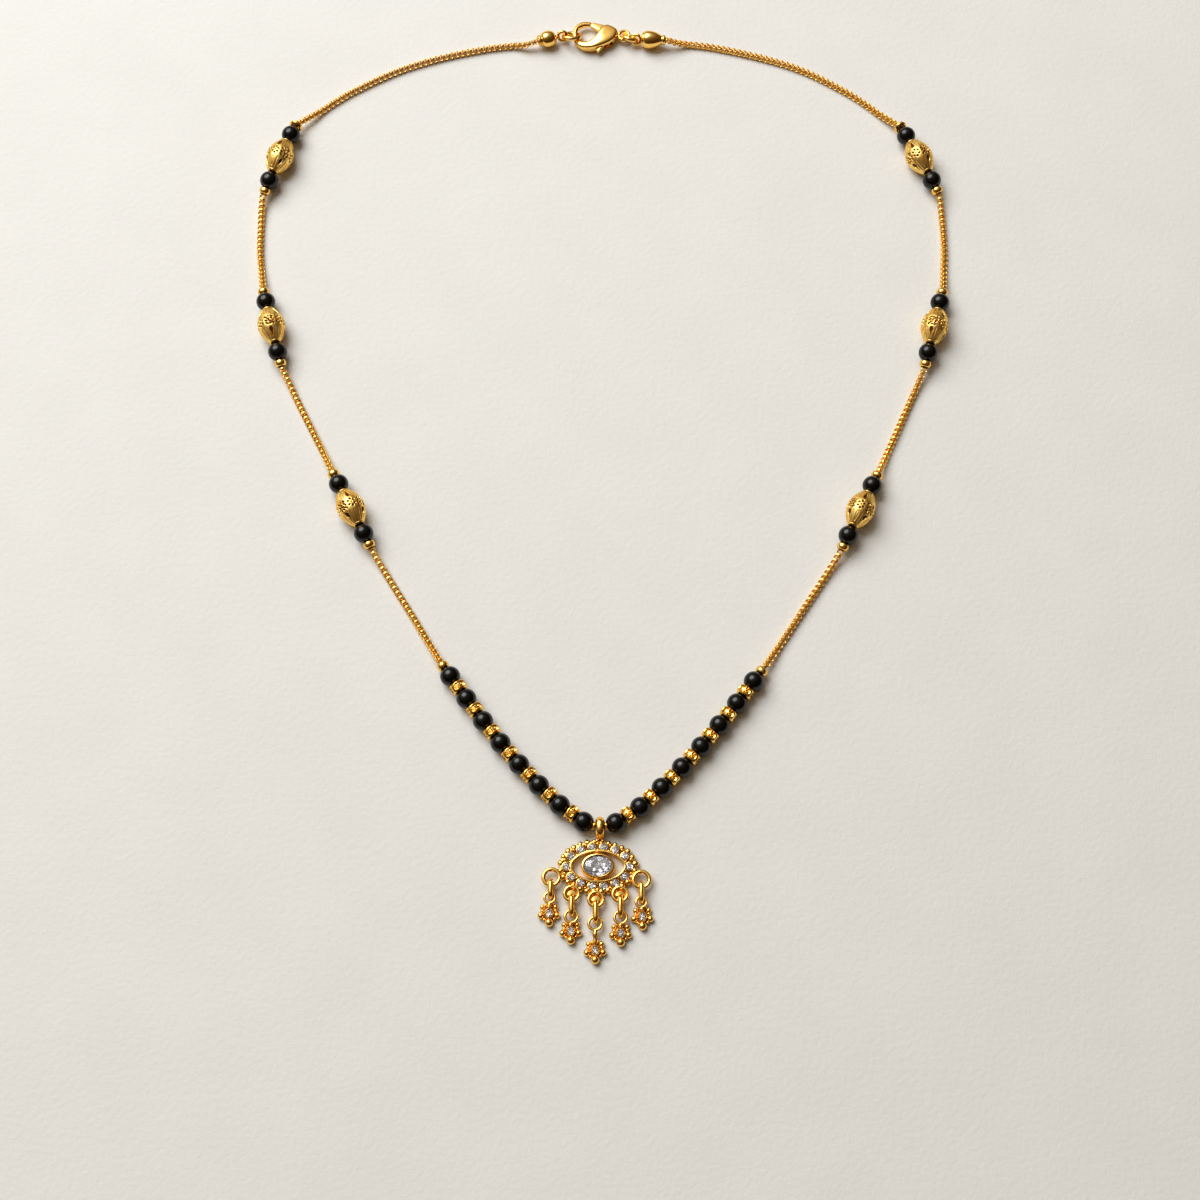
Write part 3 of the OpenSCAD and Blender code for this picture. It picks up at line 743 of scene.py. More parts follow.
# Spacers: along the thread, a thick round frame with windows that hold a stud and a lump
SPACER_SIDES = 99
SPACER_ROWS = 30
SPACER_HALF = 1.02
SPACER_END_R = 1.2
SPACER_BULGE = 0.46
SPACER_RIM_R = 0.9
SPACER_BORE_R = 0.4
SPACER_WINDOWS = 3
WINDOW_R = 1.5
WINDOW_EDGE = 0.14
WINDOW_DEPTH = 0.52
STUD_RISE = 0.36
LUMP_RISE = 0.2
# How much shade is painted into the windows
WINDOW_SHADE = 0.42
# A window, its stud and its lump: the middle round the spacer and along it, and the half sizes
WINDOW = (0, 0, 1.18, 0.6)
STUD = (-0.1, 0, 0.4, 0.44)
LUMP = (0.68, 0.05, 0.2, 0.28)
SPACER_LEAN = 0.3
SPACER_TWIST = 0.07


def block(x, y, middle_x, middle_y, half_x, half_y):
    """1 inside a rectangle with round corners, easing to 0 outside it."""
    far = (np.abs((x - middle_x) / half_x) ** 4 + np.abs((y - middle_y) / half_y) ** 4) ** 0.25
    return soft_edge((1 - far) * min(half_x, half_y), WINDOW_EDGE)


def spacer_shape():
    rise = np.sin(np.linspace(-QUARTER, QUARTER, SPACER_ROWS))
    a, z = np.meshgrid(angles(SPACER_SIDES), SPACER_HALF * rise)
    frame_r = SPACER_END_R + SPACER_BULGE * (1 - (np.abs(z) / SPACER_HALF) ** 3) ** 0.5
    cell = TURN / SPACER_WINDOWS
    x = ((a + cell / 2) % cell - cell / 2) * WINDOW_R
    window, stud, lump = [block(x, z, *place) for place in (WINDOW, STUD, LUMP)]
    r = frame_r - WINDOW_DEPTH * window + STUD_RISE * stud + LUMP_RISE * lump
    # Painted shade in each window, less on the stud and the lump, and painted shade in the bore
    depth = WINDOW_SHADE * window * (1 - stud) * (1 - 0.6 * lump)
    bore = [(SPACER_RIM_R, SPACER_HALF), (SPACER_BORE_R, SPACER_HALF - 0.06)]
    return bored(round_points(r, a, z), depth, bore, [0.2, 0.6])


# Crimps and ring caps. A crimp's section goes from the middle of its bead side round and into its mouth
CRIMP_PROFILE = [
    [0, -0.78], [0.66, -0.78], [0.94, -0.71], [1.15, -0.48], [1.23, -0.1], [1.19, 0.27], [1.05, 0.54],
    [0.92, 0.68], [0.82, 0.71], [0.73, 0.66], [0.68, 0.45], [0.64, 0], [0, 0]
]
CRIMP_MOUTH = 9
CRIMP_SIDES = 32
CRIMP_HALF = 0.75
RING_CAP_R = 1.0
RING_CAP_WIRE = 0.44


def crimp_shape():
    # Shade painted inside the mouth, down to its bottom
    dark = [float(k >= CRIMP_MOUTH) for k in range(1, len(CRIMP_PROFILE) - 1)]
    return lathe(CRIMP_PROFILE, CRIMP_SIDES).shade_painted_on(np.append(np.repeat(dark, CRIMP_SIDES), [0, 1]))


def ring_cap_shapes():
    """A thick ring with a plate set deep in it, where the chain is fixed, and shade painted on the plate."""
    plate = lathe([[0, 0.12], [0.7, 0.12], [0.8, 0.2], [0.7, 0.34], [0, 0.34]], 24)
    return [torus(RING_CAP_R, RING_CAP_WIRE, 44, 14), plate.shade_painted_on(0.5)]


# Threads: the front string, from its lowest point in the bail up each side to a crimp, and the stations
FRONT_FIRST_BEADS = (13, 21)
FRONT_SIDE_BEADS = 8
FRONT_BEND_GAP = 0.12
FRONT_CRIMP_Z = 1.8
FRONT_CRIMP_DROP = 0.09
FRONT_DISC_X = 1.16
FRONT_DISC_R = 0.55
FRONT_DISC_WIRE = 0.34
THREAD_LOW = np.array([0.0, -79.0, 2.0])


def thread(route):
    return tube(smooth_curve(route, 4), THREAD_R, 8)


def add_front_string():
    """Spacers between the front beads, end crimps, a small disc each side of the bail, and the thread."""
    metal, routes = [], []
    for first in FRONT_FIRST_BEADS:
        last = first + FRONT_SIDE_BEADS - 1
        beads = [node_middle(f"black_bead_{k:02d}") for k in range(first, last + 1)]
        roll = QUARTER + (SPACER_LEAN if first == FRONT_FIRST_BEADS[0] else -SPACER_LEAN)
        for k, (a, b) in enumerate(zip(beads, beads[1:])):
            metal += placed([spacer_shape()], b - a, (a + b) / 2, roll=roll + SPACER_TWIST * (k % 3))
        out = pointing(turned_axis(f"black_bead_{last:02d}"), beads[-1] - beads[-2])
        crimp = beads[-1] + (BEAD_HALF + FRONT_BEND_GAP + CRIMP_HALF) * out
        crimp[2] = FRONT_CRIMP_Z
        metal += placed([crimp_shape()], out - FRONT_CRIMP_DROP * UP, crimp)
        to_bead = beads[0] - THREAD_LOW
        disc = THREAD_LOW + to_bead * FRONT_DISC_X / abs(to_bead[0])
        metal += placed([torus(FRONT_DISC_R, FRONT_DISC_WIRE, 28, 12, squash=0.85)], to_bead, disc)
        routes.append([crimp] + beads[::-1])
    string = thread(routes[0] + [THREAD_LOW] + routes[1][::-1])
    painted = [(GOLD_OPENWORK, metal), (THREAD, [string])]
    add_piece("front_metal_and_thread", painted, ["front_string"])


# Stations: a crimp at each end, but a ring cap at the top of each side's upper station
STATIONS_A_SIDE = 3
STATION_GAP = 0.06
STATION_END_Z = 2.05
CRIMP_DROP = math.radians(10)
RING_CAP_HALF = 0.75
RING_CAP_DROP = math.radians(20)


def add_station_strings():
    """In each station a thread runs from end to end through both black beads and the oval between them."""
    for name, first in (("left", 0), ("right", STATIONS_A_SIDE)):
        metal, threads = [], []
        for i in range(first, first + STATIONS_A_SIDE):
            oval = node_middle(f"oval_bead_{i + 1}")
            route = [oval]
            for bead, ring in ((2 * i + 1, i == first), (2 * i + 2, False)):
                middle = node_middle(f"black_bead_{bead:02d}")
                out = unit((middle - oval) * [1, 1, 0])
                end = middle + (BEAD_HALF + STATION_GAP + (RING_CAP_HALF if ring else CRIMP_HALF)) * out
                end[2] = STATION_END_Z
                drop = RING_CAP_DROP if ring else CRIMP_DROP
                tilt = out * math.cos(drop) - UP * math.sin(drop)
                metal += placed(ring_cap_shapes() if ring else [crimp_shape()], tilt, end)
                route = [end, middle] + route if bead % 2 else route + [middle, end]
            threads.append(thread(route))
        painted = [(GOLD_OPENWORK, metal), (THREAD, threads)]
        add_piece(f"station_metal_{name}", painted, [f"station_strings_{name}"])


# Box chain: the pitch of its links, one link's wall, length, width, strip and corners, how far a run goes
# into its caps, its least height, and how far each way a link's direction is taken
LINK_PITCH = 0.61
LINK_WALL = 0.26
LINK_LENGTH = LINK_PITCH + 2 * LINK_WALL
LINK_WIDTH = 1.46
LINK_STRIP = 0.74
LINK_CORNER = 0.42
CHAIN_INTO_CAP = 0.3
CHAIN_LOWEST = 0.01
CHAIN_LOOK = 0.5
# How far each run's links are rolled from lying flat, in degrees, at its two ends
CHAIN_ROLL = {1: (42, 30), 2: (25, -12), 3: (-30, 10), 4: (20, -15)}


def link_shape():
    """One link in its own x-z plane: a strip with a rounded section bent into a rounded rectangle."""
    path = stadium((LINK_LENGTH - LINK_WALL) / 2, (LINK_WIDTH - LINK_WALL) / 2, LINK_CORNER, 3)
    a = angles(10, 0.5)
    section = [LINK_WALL / 2 * np.cos(a), LINK_STRIP / 2 * signed_power(np.sin(a), 0.8)]
    flat = band(path, np.transpose(section))
    return Shape(flat.points[:, [0, 2, 1]] * [1, -1, 1], flat.faces)


def chain_shape(route, roll):
    """Links along a route, each a quarter turn from the one before it."""
    route = smooth_curve(route, 12)
    ends = unit(route[[0, -1]] - route[[1, -2]])
    route = np.vstack([route[0] + CHAIN_INTO_CAP * ends[0], route, route[-1] + CHAIN_INTO_CAP * ends[1]])
    length = length_along(route)
    count = int(round((length[-1] - 2 * LINK_WALL) / LINK_PITCH))
    number = np.arange(count)
    at = LINK_LENGTH / 2 + (length[-1] - LINK_LENGTH) * number / (count - 1)
    x = unit(points_at(route, length, at + CHAIN_LOOK) - points_at(route, length, at - CHAIN_LOOK))
    side = unit(np.cross(UP, x))
    top = np.cross(x, side)
    turn = roll[0] + (roll[1] - roll[0]) * smooth_step(at / length[-1]) + QUARTER * (number % 2)
    c, s = np.cos(turn)[:, None], np.sin(turn)[:, None]
    axes = np.stack([x, c * side + s * top, c * top - s * side], axis=1)
    link = link_shape()
    points = np.einsum("pk,nkj->npj", link.points, axes) + points_at(route, length, at)[:, None]
    lowest = points[..., 2].min(axis=1)
    points[..., 2] += np.clip(CHAIN_LOWEST - lowest, 0, None)[:, None]
    first = len(link.points) * number[:, None, None]
    return Shape(points, [(f[None] + first).reshape(-1, 4) for f in link.faces])


def add_chains():
    for side in ("left", "right"):
        for k in range(1, 5):
            node = f"chain_{side}_{k}"
            chain = chain_shape(tube_route(node), [math.radians(r) for r in CHAIN_ROLL[k]])
            add_piece(f"box_chain_{side}_{k}", [(CHAIN_GOLD, [chain])], [node], sharp=35)


# Rings at the clasp: how far each side's rings lean from lying flat, and the heading of the right side's
LEFT_LEAN = math.radians(53)
RIGHT_LEAN = math.radians(45)
RIGHT_RING_HEADING = math.radians(-22)


def leaned(lean, heading=0.0):
    """The axis of a ring that lay flat, after it leans about its x axis and turns to a heading."""
    y, z = -math.sin(lean), math.cos(lean)
    return np.array([-y * math.sin(heading), y * math.cos(heading), z])


# End caps: the middle of each cap's loop, its heading in degrees, how far out it starts, and the loop's axis
CAPS = {
    "left": ([-8.3, 100.85, 1.57], 197, 1.5, leaned(LEFT_LEAN)),
    "right": ([8.11, 99.84, 1.75], -5, 1.3, leaned(RIGHT_LEAN, RIGHT_RING_HEADING)),
}
# (radius, distance) along each cap from its loop end to the chain's mouth
CAP_PROFILES = {
    "left": [
        [0, 0], [0.5, 0.03], [1.0, 0.22], [1.42, 0.6], [1.7, 1.12], [1.8, 1.7], [1.78, 2.3],
        [1.62, 2.85], [1.34, 3.25], [1.1, 3.45], [1.12, 3.58], [1.2, 3.76], [1.2, 3.98], [1.1, 4.1]
    ],
    "right": [
        [0, 0.02], [1.3, 0.0], [1.52, 0.05], [1.62, 0.2], [1.62, 0.36], [1.74, 0.5], [1.88, 0.8],
        [1.95, 1.3], [1.93, 1.9], [1.82, 2.5], [1.62, 3.1], [1.32, 3.7], [1.04, 4.15], [0.93, 4.35],
        [1.0, 4.5], [1.08, 4.7], [1.06, 4.95], [0.98, 5.08]
    ],
}
MOUTH_R = 0.74
MOUTH_DEPTH = 0.9
CAP_RISE = math.radians(5)
LOOP_R = 1.0
LOOP_WIRE = 0.36
STEM_RADII = [0.3, 0.33, 0.36, 0.42, 0.55, 0.6]
CAP_BALL_R = 0.38
CAP_BALL_ALONG = 3.8
CAP_BALL_ASIDE = 0.92
CAP_BALL_UP = 0.15


def add_end_caps():
    """Two turned caps, each with a stem at its narrow end and a ring soldered to it.
    The left one has two small balls at the sides of its mouth."""
    for name, (loop, heading, start, loop_axis) in CAPS.items():
        profile = CAP_PROFILES[name]
        heading = math.radians(heading)
        flat = np.array([math.cos(heading), math.sin(heading), 0])
        out = flat * math.cos(CAP_RISE) + UP * math.sin(CAP_RISE)
        end = profile[-1][1]
        mouth = [[MOUTH_R + 0.06, end - 0.02], [MOUTH_R, end - 0.12], [MOUTH_R - 0.06, end - MOUTH_DEPTH],
                 [0, end - MOUTH_DEPTH]]
        body = lathe(np.vstack([smooth_curve(profile, 4), mouth]), 64)
        shapes = placed([body], out, loop + start * out)
        shapes.append(taper(loop + LOOP_R * flat, loop + (start + 0.4) * out, STEM_RADII, 16))
        shapes += placed([torus(LOOP_R, LOOP_WIRE, 40, 12)], loop_axis, loop)
        if name == "left":
            side = CAP_BALL_ASIDE * unit(np.cross(UP, out))
            for k in (-1, 1):
                place = loop + (start + CAP_BALL_ALONG) * out + k * side + CAP_BALL_UP * UP
                shapes += placed([ball(CAP_BALL_R, 16, 10)], out, place)
        add_piece(f"cap_{name}", [(GOLD, shapes)], [f"end_cap_{name}"])


JUMP_RINGS = {
    "left": dict(r=1.82, lean=LEFT_LEAN, heading=0.0, cut_at=2.4, shift=-0.2),
    "right": dict(r=1.52, lean=RIGHT_LEAN, heading=RIGHT_RING_HEADING, cut_at=2.6, shift=0.0),
}
JUMP_RING_WIRE = 0.5
HALF_CUT = 0.02


def jump_ring_shape(r, cut_at):
    """A ring of wire whose two ends meet in a fine cut."""
    half_cut = HALF_CUT / r
    a = cut_at + np.linspace(half_cut, TURN - half_cut, 73)
    return band(np.stack([r * np.cos(a), r * np.sin(a)], axis=1), circle(JUMP_RING_WIRE, 18), closed=False)


def add_jump_rings():
    for side, ring in JUMP_RINGS.items():
        node = f"jump_ring_{side}"
        axis = leaned(ring["lean"] - QUARTER, ring["heading"])
        shape = jump_ring_shape(ring["r"], ring["cut_at"])
        middle = node_middle(node) + [ring["shift"], 0, 0]
        add_piece(f"wire_ring_{side}", [(GOLD, placed([shape], axis, middle))], [node])


# Claw, in its own frame round the lever's pin. The columns are the outer x and y, the inner x and y,
# and the thickness as a part of the greatest one, from the hook's tip round to the neck
CLAW_AT = np.array([2.1, 101.5, 1.42])
CLAW_THICK = 2.8
CLAW_SECTIONS = [
    [-4.15, 3, -4.7, 1.9, 0.36],
    [-5.4, 3.2, -5.6, 1.8, 0.39],
    [-6.6, 2.85, -6.35, 1.45, 0.39],
    [-7.5, 2.05, -6.9, 0.95, 0.39],
    [-8.05, 0.9, -7.1, 0.4, 0.39],
    [-8.2, -0.25, -7.1, -0.25, 0.39],
    [-8, -1.6, -6.9, -1, 0.42],
    [-7.4, -2.85, -6.5, -1.65, 0.48],
    [-6.5, -3.7, -5.8, -2.15, 0.6],
    [-5.3, -4.1, -5, -2.3, 0.73],
    [-4.1, -4.15, -4.2, -2.1, 0.84],
    [-2.8, -3.95, -3.45, -1.4, 0.92],
    [-1.4, -3.45, -2.95, -0.6, 0.97],
    [0, -2.75, -2.6, 0.15, 1],
    [1.1, -1.85, -2.15, 1.05, 1],
    [1.75, -0.75, -1.5, 1.65, 0.96],
    [1.85, 0.3, -0.6, 1.9, 0.86],
    [1.55, 0.85, 0.35, 1.6, 0.61],
    [1.25, 1.05, 0.75, 1.3, 0.32]
]
CLAW_SIDES = 48
TIP_LENGTH = 0.14
TIP_EDGE = 0.14
NECK_EDGE = 0.3
NECK_START = [1.45, -0.35, 0]
NECK_RADII = [0.75, 0.74, 0.68, 0.6, 0.52, 0.46, 0.4, 0.34]
EYE_AT = [3.23, -0.41, 0]
EYE_R = 1.14
EYE_WIRE = 0.4
PIN_R = 0.35
PIN_HALF = 1.0
PIN_CLEAR = 0.05
# The slot for the lever: round the pin, towards the gate and towards the thumb tab
LEVER_THICK = 0.86
SLOT_HALF = LEVER_THICK / 2 + 0.06
SLOT_R = 1.3
SLOT_GATE = [
    [-3.6, 3.6], [-3.6, -0.42], [-2.4, -0.58], [-0.9, -0.9], [0, 0], [0.68, 1.05], [-0.42, 2.1], [-0.42, 2.8]
]
SLOT_TAB = [
    [-1.08, -0.5], [-2.3, -3.2], [-3.2, -5], [0.5, -5], [0.6, -3.6], [0.72, -2.2], [1.1, -1.68],
    [1.42, -0.75], [0, 0]
]
LEVER_OUTLINE = [
    [-3.7, 2.85], [-4.22, 2.1], [-4.06, 1.72], [-2.3, 0.63], [-1.1, -0.3], [-1.05, -0.75], [-2.15, -3.2],
    [-2.95, -4.5], [-2.45, -4.85], [-1.2, -3.4], [-0.75, -2.25], [-0.3, -2.0],
    [0.25, -1.85], [0.6, -1.3], [1.0, -0.5], [1.12, 0.1], [0.85, 0.7],
    [0.5, 0.95], [-0.6, 2]
]
LEVER_CORNER = 0.3
LEVER_EDGE = 0.14


def turned_in(rings, length, edge):
    """Rings that carry a skin on from the last of its rings and then turn in over a rounded edge."""
    ring = rings[-1]
    middle = ring.mean(0)
    ahead = unit(middle - rings[-2].mean(0))
    ends = [ring + ahead * length] if length else []
    for t in (0.4, 0.8, 1.2):
        inset = 1 - (1 - math.cos(t)) * edge / np.linalg.norm(ring - middle, axis=1).mean()
        ends.append(middle + (ring - middle) * inset + ahead * (length + edge * math.sin(t)))
    return ends


def claw_skin():
    """Sections from round wire at the hook to a crisp-edged pillow at the body."""
    a = angles(CLAW_SIDES, 0.5)
    rings = []
    for outer_x, outer_y, inner_x, inner_y, thick in smooth_curve(CLAW_SECTIONS, 5):
        middle = np.array([outer_x + inner_x, outer_y + inner_y, 0]) / 2
        half = np.array([outer_x - inner_x, outer_y - inner_y, 0]) / 2
        power = 1 - 0.54 * smooth_step((thick - 0.4) / 0.5)
        c, s = signed_power(np.cos(a), power), signed_power(np.sin(a), power)
        rings.append(middle + c[:, None] * half + s[:, None] * [0, 0, thick * CLAW_THICK / 2])
    tip = turned_in(rings[::-1], TIP_LENGTH, TIP_EDGE)
    rings = tip[::-1] + rings + turned_in(rings, 0, NECK_EDGE)
    return round_ends(grid(rings, False), CLAW_SIDES)


def shape_object(shape):
    return add_object("scratch", mesh_of("scratch", [(GOLD, [shape])]))


def boolean(thing, shapes, operation):
    """Applies exact booleans by some shapes to an object."""
    tools = [shape_object(shape) for shape in shapes]
    for tool in tools:
        modifier = thing.modifiers.new("cut", "BOOLEAN")
        modifier.operation = operation
        modifier.object = tool
        modifier.solver = "EXACT"
    bpy.context.view_layer.update()
    graph = bpy.context.evaluated_depsgraph_get()
    result = bpy.data.meshes.new_from_object(thing.evaluated_get(graph))
    thing.modifiers.clear()
    thing.data = result
    for tool in tools:
        bpy.data.objects.remove(tool)


def finish_metal(piece, name, sharp, node, body):
    """Names a piece of the clasp, moves it to the lever's pin and sets its shading."""
    piece.name = name
    piece.data.name = name
    piece.data.transform(Matrix.Translation(Vector(CLAW_AT * MM)))
    for polygon in piece.data.polygons:
        polygon.use_smooth = True
    piece.data.set_sharp_from_angle(angle=math.radians(sharp))
    finish_piece(piece, [node], body)


def add_clasp():
    """The claw with its slot, neck, eye and pin, and then the lever on the pin."""
    claw = shape_object(claw_skin())
    slots = [slab(outline, -SLOT_HALF, SLOT_HALF, 0) for outline in (SLOT_GATE, SLOT_TAB)]
    boolean(claw, [rod(SLOT_R, SLOT_HALF, 48)] + slots, "DIFFERENCE")
    neck = taper(NECK_START, [EYE_AT[0] - EYE_R, EYE_AT[1], 0], NECK_RADII, 20)
    eye = torus(EYE_R, EYE_WIRE, 48, 14).moved(*EYE_AT)
    boolean(claw, [eye, neck, rod(PIN_R, PIN_HALF, 24)], "UNION")
    finish_metal(claw, "claw", 42, "clasp_body", "necklace")
    outline = round_corners(LEVER_OUTLINE, LEVER_CORNER, 5)
    lever = shape_object(slab(outline, -LEVER_THICK / 2, LEVER_THICK / 2, LEVER_EDGE))
    boolean(lever, [rod(PIN_R + PIN_CLEAR, PIN_HALF, 24)], "DIFFERENCE")
    finish_metal(lever, "lever", 32, "clasp_lever", "lever")


# Faceted stones
STAR_R = 0.8


def brilliant(rx, ry, crown, girdle, pavilion, table=0.56, n=8, corner=2.0, steps=3):
    """A brilliant cut with its girdle at z = 0: table, stars, kites and girdle facets in front.
    The foiled back has steps rings of small uneven facets.
    A corner under 2 draws the outline out towards a lozenge."""
    star_z = crown * (1 - (STAR_R * math.cos(TURN / n / 2) - table) / (1 - table))
    # Each ring: its radius, height, count of points and shift in steps
    front = [(table, crown, n, 0), (STAR_R, star_z, n, 0.5), (1, 0, 2 * n, 0), (1, -girdle, 2 * n, 0)]
    rings = [round_points(r, angles(count, shift), z) for r, z, count, shift in front]
    for j in range(1, steps):
        out = 1 - j / steps
        back = round_points(out, angles(2 * n, 0.5 * j), -girdle - pavilion * (1 - out) ** 0.8)
        back[:, 2] += [RANDOM.uniform(-1, 1) * pavilion / steps for _ in back]
        rings.append(back)
    points = np.vstack(rings + [[[0, 0, -pavilion - girdle]]])
    # The first point of the ring of stars and of the girdle's upper and lower rings
    s, g, h = n, 2 * n, 4 * n
    tris, quads, back = [], [], []
    for k in range(n):
        m = (k + 1) % n
        tris += [[k, s + k, m], [s + k, g + 2 * k, g + 2 * k + 1], [s + k, g + 2 * k + 1, g + 2 * m]]
        quads += [[m, s + k, g + 2 * m, s + m]]
    for k in range(2 * n):
        m = (k + 1) % (2 * n)
        quads += [[g + k, h + k, h + m, g + m]]
        for j in range(steps - 1):
            a, b = h + 2 * n * j, h + 2 * n * (j + 1)
            back += [[a + k, b + k, a + m], [a + m, b + k, b + m]]
        last = h + 2 * n * (steps - 1)
        back += [[last + k, len(points) - 1, last + m]]
    drawn = drawn_out(np.arctan2(points[:, 1], points[:, 0]), corner)
    points = points * np.stack([drawn * rx, drawn * ry, np.ones_like(drawn)], axis=1)
    return Shape(points, [tris, quads, [np.arange(n)], back], flat=True, backed=(3,))


# Pendant, placed from its middle
PENDANT_AT = np.array([-0.4, -86.3, 0.0])
PLATE_W, PLATE_H = 14.8, 10.0
OPENING_W, OPENING_H = 9.9, 5.5
OPENING_POINTED = 0.16
PLATE_SIDES = 120
PLATE_TOP = 1.2
CHANNEL_Z = 0.75
RIM_TOP = 1.75
STONE_W, STONE_H = 5.5, 4.0
STONE_CLEAR = 0.12
STONE_GIRDLE_Z = 1.75
BEZEL_WALL = 0.42
BEZEL_TOP = 2.1
BEZEL_SIDES = 72
HALO_STONES = 14
HALO_R = 0.8
HALO_GIRDLE_Z = 1.3
HALO_W, HALO_H = 12.05, 7.6
HALO_CLEAR = 0.04
# A seat's section: how far out from its stone's edge each point is, and its height
SEAT_SECTION = [(-0.1, 0.7), (0.1, 0.7), (0.1, 1.24), (0.05, 1.36), (-0.02, 1.38), (-0.08, 1.3), (-0.1, 1.1)]
PATH_POINTS = 240
# Prong beads and outer granules. A pair is the least and the greatest value
PRONG_R = (0.3, 0.4)
PRONG_ASIDE = 0.6
PRONG_Z = 1.15
OUTER_GRANULES = 28
OUTER_GRANULE_R = (0.56, 0.72)
OUTER_GRANULE_Z = (0.72, 0.85)
OUTER_GRANULE_SHIFT = (-0.08, 0.08)
# The bail: its middle, its ring's half length and half height, the ring's section, and its post and feet
BAIL_AT = np.array([0.4, 7.35, 1.95])
BAIL_HALF_LENGTH = 1.4
BAIL_HALF_HEIGHT = 1.2
BAIL_SECTION = (1.4, 1.72)
POST_RADII = [0.6, 0.56, 0.52, 0.5, 0.48, 0.4]
FOOT_R = 0.42
FOOT_ASIDE = 0.55
FOOT_Z = 1.2
LINK_Z = 1.28
# The granules that carry the outer rings (x, y, radius)
SIDE_GRANULES = [[-6.75, -2, 0.62], [-4.75, -3.85, 0.5], [4.3, -3.95, 0.5], [6.5, -2.3, 0.62]]
# Each drop: its soldered ring (x, y, radius), its own loop (x, y, radius) and its flower (x, y)
DROP_TABLE = [
    [-8.8, -2.1, 1.5, -9.1, -6, 1, -9.2, -8.95],
    [-4.95, -5.2, 1.32, -5, -9.55, 1.18, -5.1, -12.3],
    [-0.35, -6.3, 1.35, -0.5, -10.9, 1.22, -0.5, -15.95],
    [4.2, -5.35, 1.34, 4.3, -9.75, 1.18, 4.3, -12.7],
    [8.25, -2.55, 1.5, 8.2, -6.85, 0.98, 8.4, -9.6]
]
# The soldered rings: their wire, thicker on the outer two, and how far their radius is over the table's.
# The webs behind the other three: how far their base is under the ring's middle, how much taller they are
# than the ring's radius, the heights of their two faces, and how much shade is painted on them
OUTER_DROPS = (0, 4)
OUTER_RING_WIRE = 0.42
RING_WIRE = 0.37
RING_SPARE = 0.03
WEB_UNDER = 0.25
WEB_TALLER = 0.2
WEB_BOTTOM, WEB_TOP = 0.35, 0.8
WEB_SHADE = 0.42


def plate_shape():
    """The eye-shaped plate: a channel for the stones between an outer wall and a raised inner rim."""
    opening = ellipse(OPENING_W, OPENING_H, PLATE_SIDES, OPENING_POINTED)
    edge = ellipse(PLATE_W - 0.3, PLATE_H - 0.3, PLATE_SIDES)
    rows = [
        (0, 0.1), (0, RIM_TOP - 0.12), (0.04, RIM_TOP - 0.02), (0.1, RIM_TOP), (0.16, RIM_TOP - 0.04),
        (0.19, RIM_TOP - 0.2), (0.2, CHANNEL_Z), (0.82, CHANNEL_Z), (0.83, PLATE_TOP - 0.12),
        (0.88, PLATE_TOP), (0.96, PLATE_TOP - 0.06), (1, PLATE_TOP - 0.3), (1, 0.2), (0.96, 0.05), (0.9, 0),
        (0.1, 0), (0.03, 0.03)
    ]
    # Painted shade on the channel's floor, under and between the stones
    dark = [PAINTED_RECESS_SHADE * (z == CHANNEL_Z) for _, z in rows]
    return eye_ring(opening, edge, rows).shade_painted_on(np.repeat(dark, PLATE_SIDES))


def halo_shapes():
    """The stones' seats, the prong beads between them and the granules round the plate's edge."""
    path = ellipse(HALO_W, HALO_H, PATH_POINTS)
    seats, stones = [], []
    seat = lathe([[HALO_R + out, z] for out, z in SEAT_SECTION], 24, ring=True)
    stone_r = HALO_R - HALO_CLEAR
    for x, y in even_points(path, HALO_STONES, 0.5 - HALO_STONES / 4):
        seats.append(seat.moved(x, y))
        stone = brilliant(stone_r, stone_r, crown=0.24, girdle=0.04, pavilion=0.24, n=6)
        stones += placed([stone], UP, [x, y, HALO_GIRDLE_Z], roll=RANDOM.uniform(0, 1))
    for x, y in even_points(path, HALO_STONES, -HALO_STONES / 4):
        out = unit([x / HALO_W ** 2, y / HALO_H ** 2])
        for k in (-PRONG_ASIDE, PRONG_ASIDE):
            r = RANDOM.uniform(*PRONG_R)
            seats.append(granule(r, x + k * out[0], y + k * out[1], PRONG_Z, 14, 9))
    edge = ellipse(PLATE_W - 0.5, PLATE_H - 0.5, PATH_POINTS)
    for x, y in even_points(edge, OUTER_GRANULES, -OUTER_GRANULES / 4 + 0.5):
        r = RANDOM.uniform(*OUTER_GRANULE_R)
        x += RANDOM.uniform(*OUTER_GRANULE_SHIFT)
        y += RANDOM.uniform(*OUTER_GRANULE_SHIFT)
        seats.append(granule(r, x, y, RANDOM.uniform(*OUTER_GRANULE_Z), squash=0.9))
    return seats, stones


def bezel_shapes():
    """The oval wall round the centre stone, and the bars that join it to the rim above and below."""
    w, h = STONE_W + STONE_CLEAR, STONE_H + STONE_CLEAR
    inner = ellipse(w, h, BEZEL_SIDES)
    outer = ellipse(w + 2 * BEZEL_WALL, h + 2 * BEZEL_WALL, BEZEL_SIDES)
    rows = [
        (0.15, 0.05), (0.1, 0.5), (0, 0.9), (0, BEZEL_TOP - 0.2), (-0.1, BEZEL_TOP - 0.06), (0.1, BEZEL_TOP),
        (0.5, BEZEL_TOP - 0.02), (0.85, BEZEL_TOP - 0.14), (1, BEZEL_TOP - 0.35), (1, 0.2), (0.9, 0)
    ]
    bar = slab(stadium(0.7, 0.4, 0.2, 3), 0.1, 1.0, 0.1, 2)
    return [eye_ring(inner, outer, rows)] + [bar.moved(y=k * (OPENING_H / 2 - 0.1)) for k in (-1, 1)]


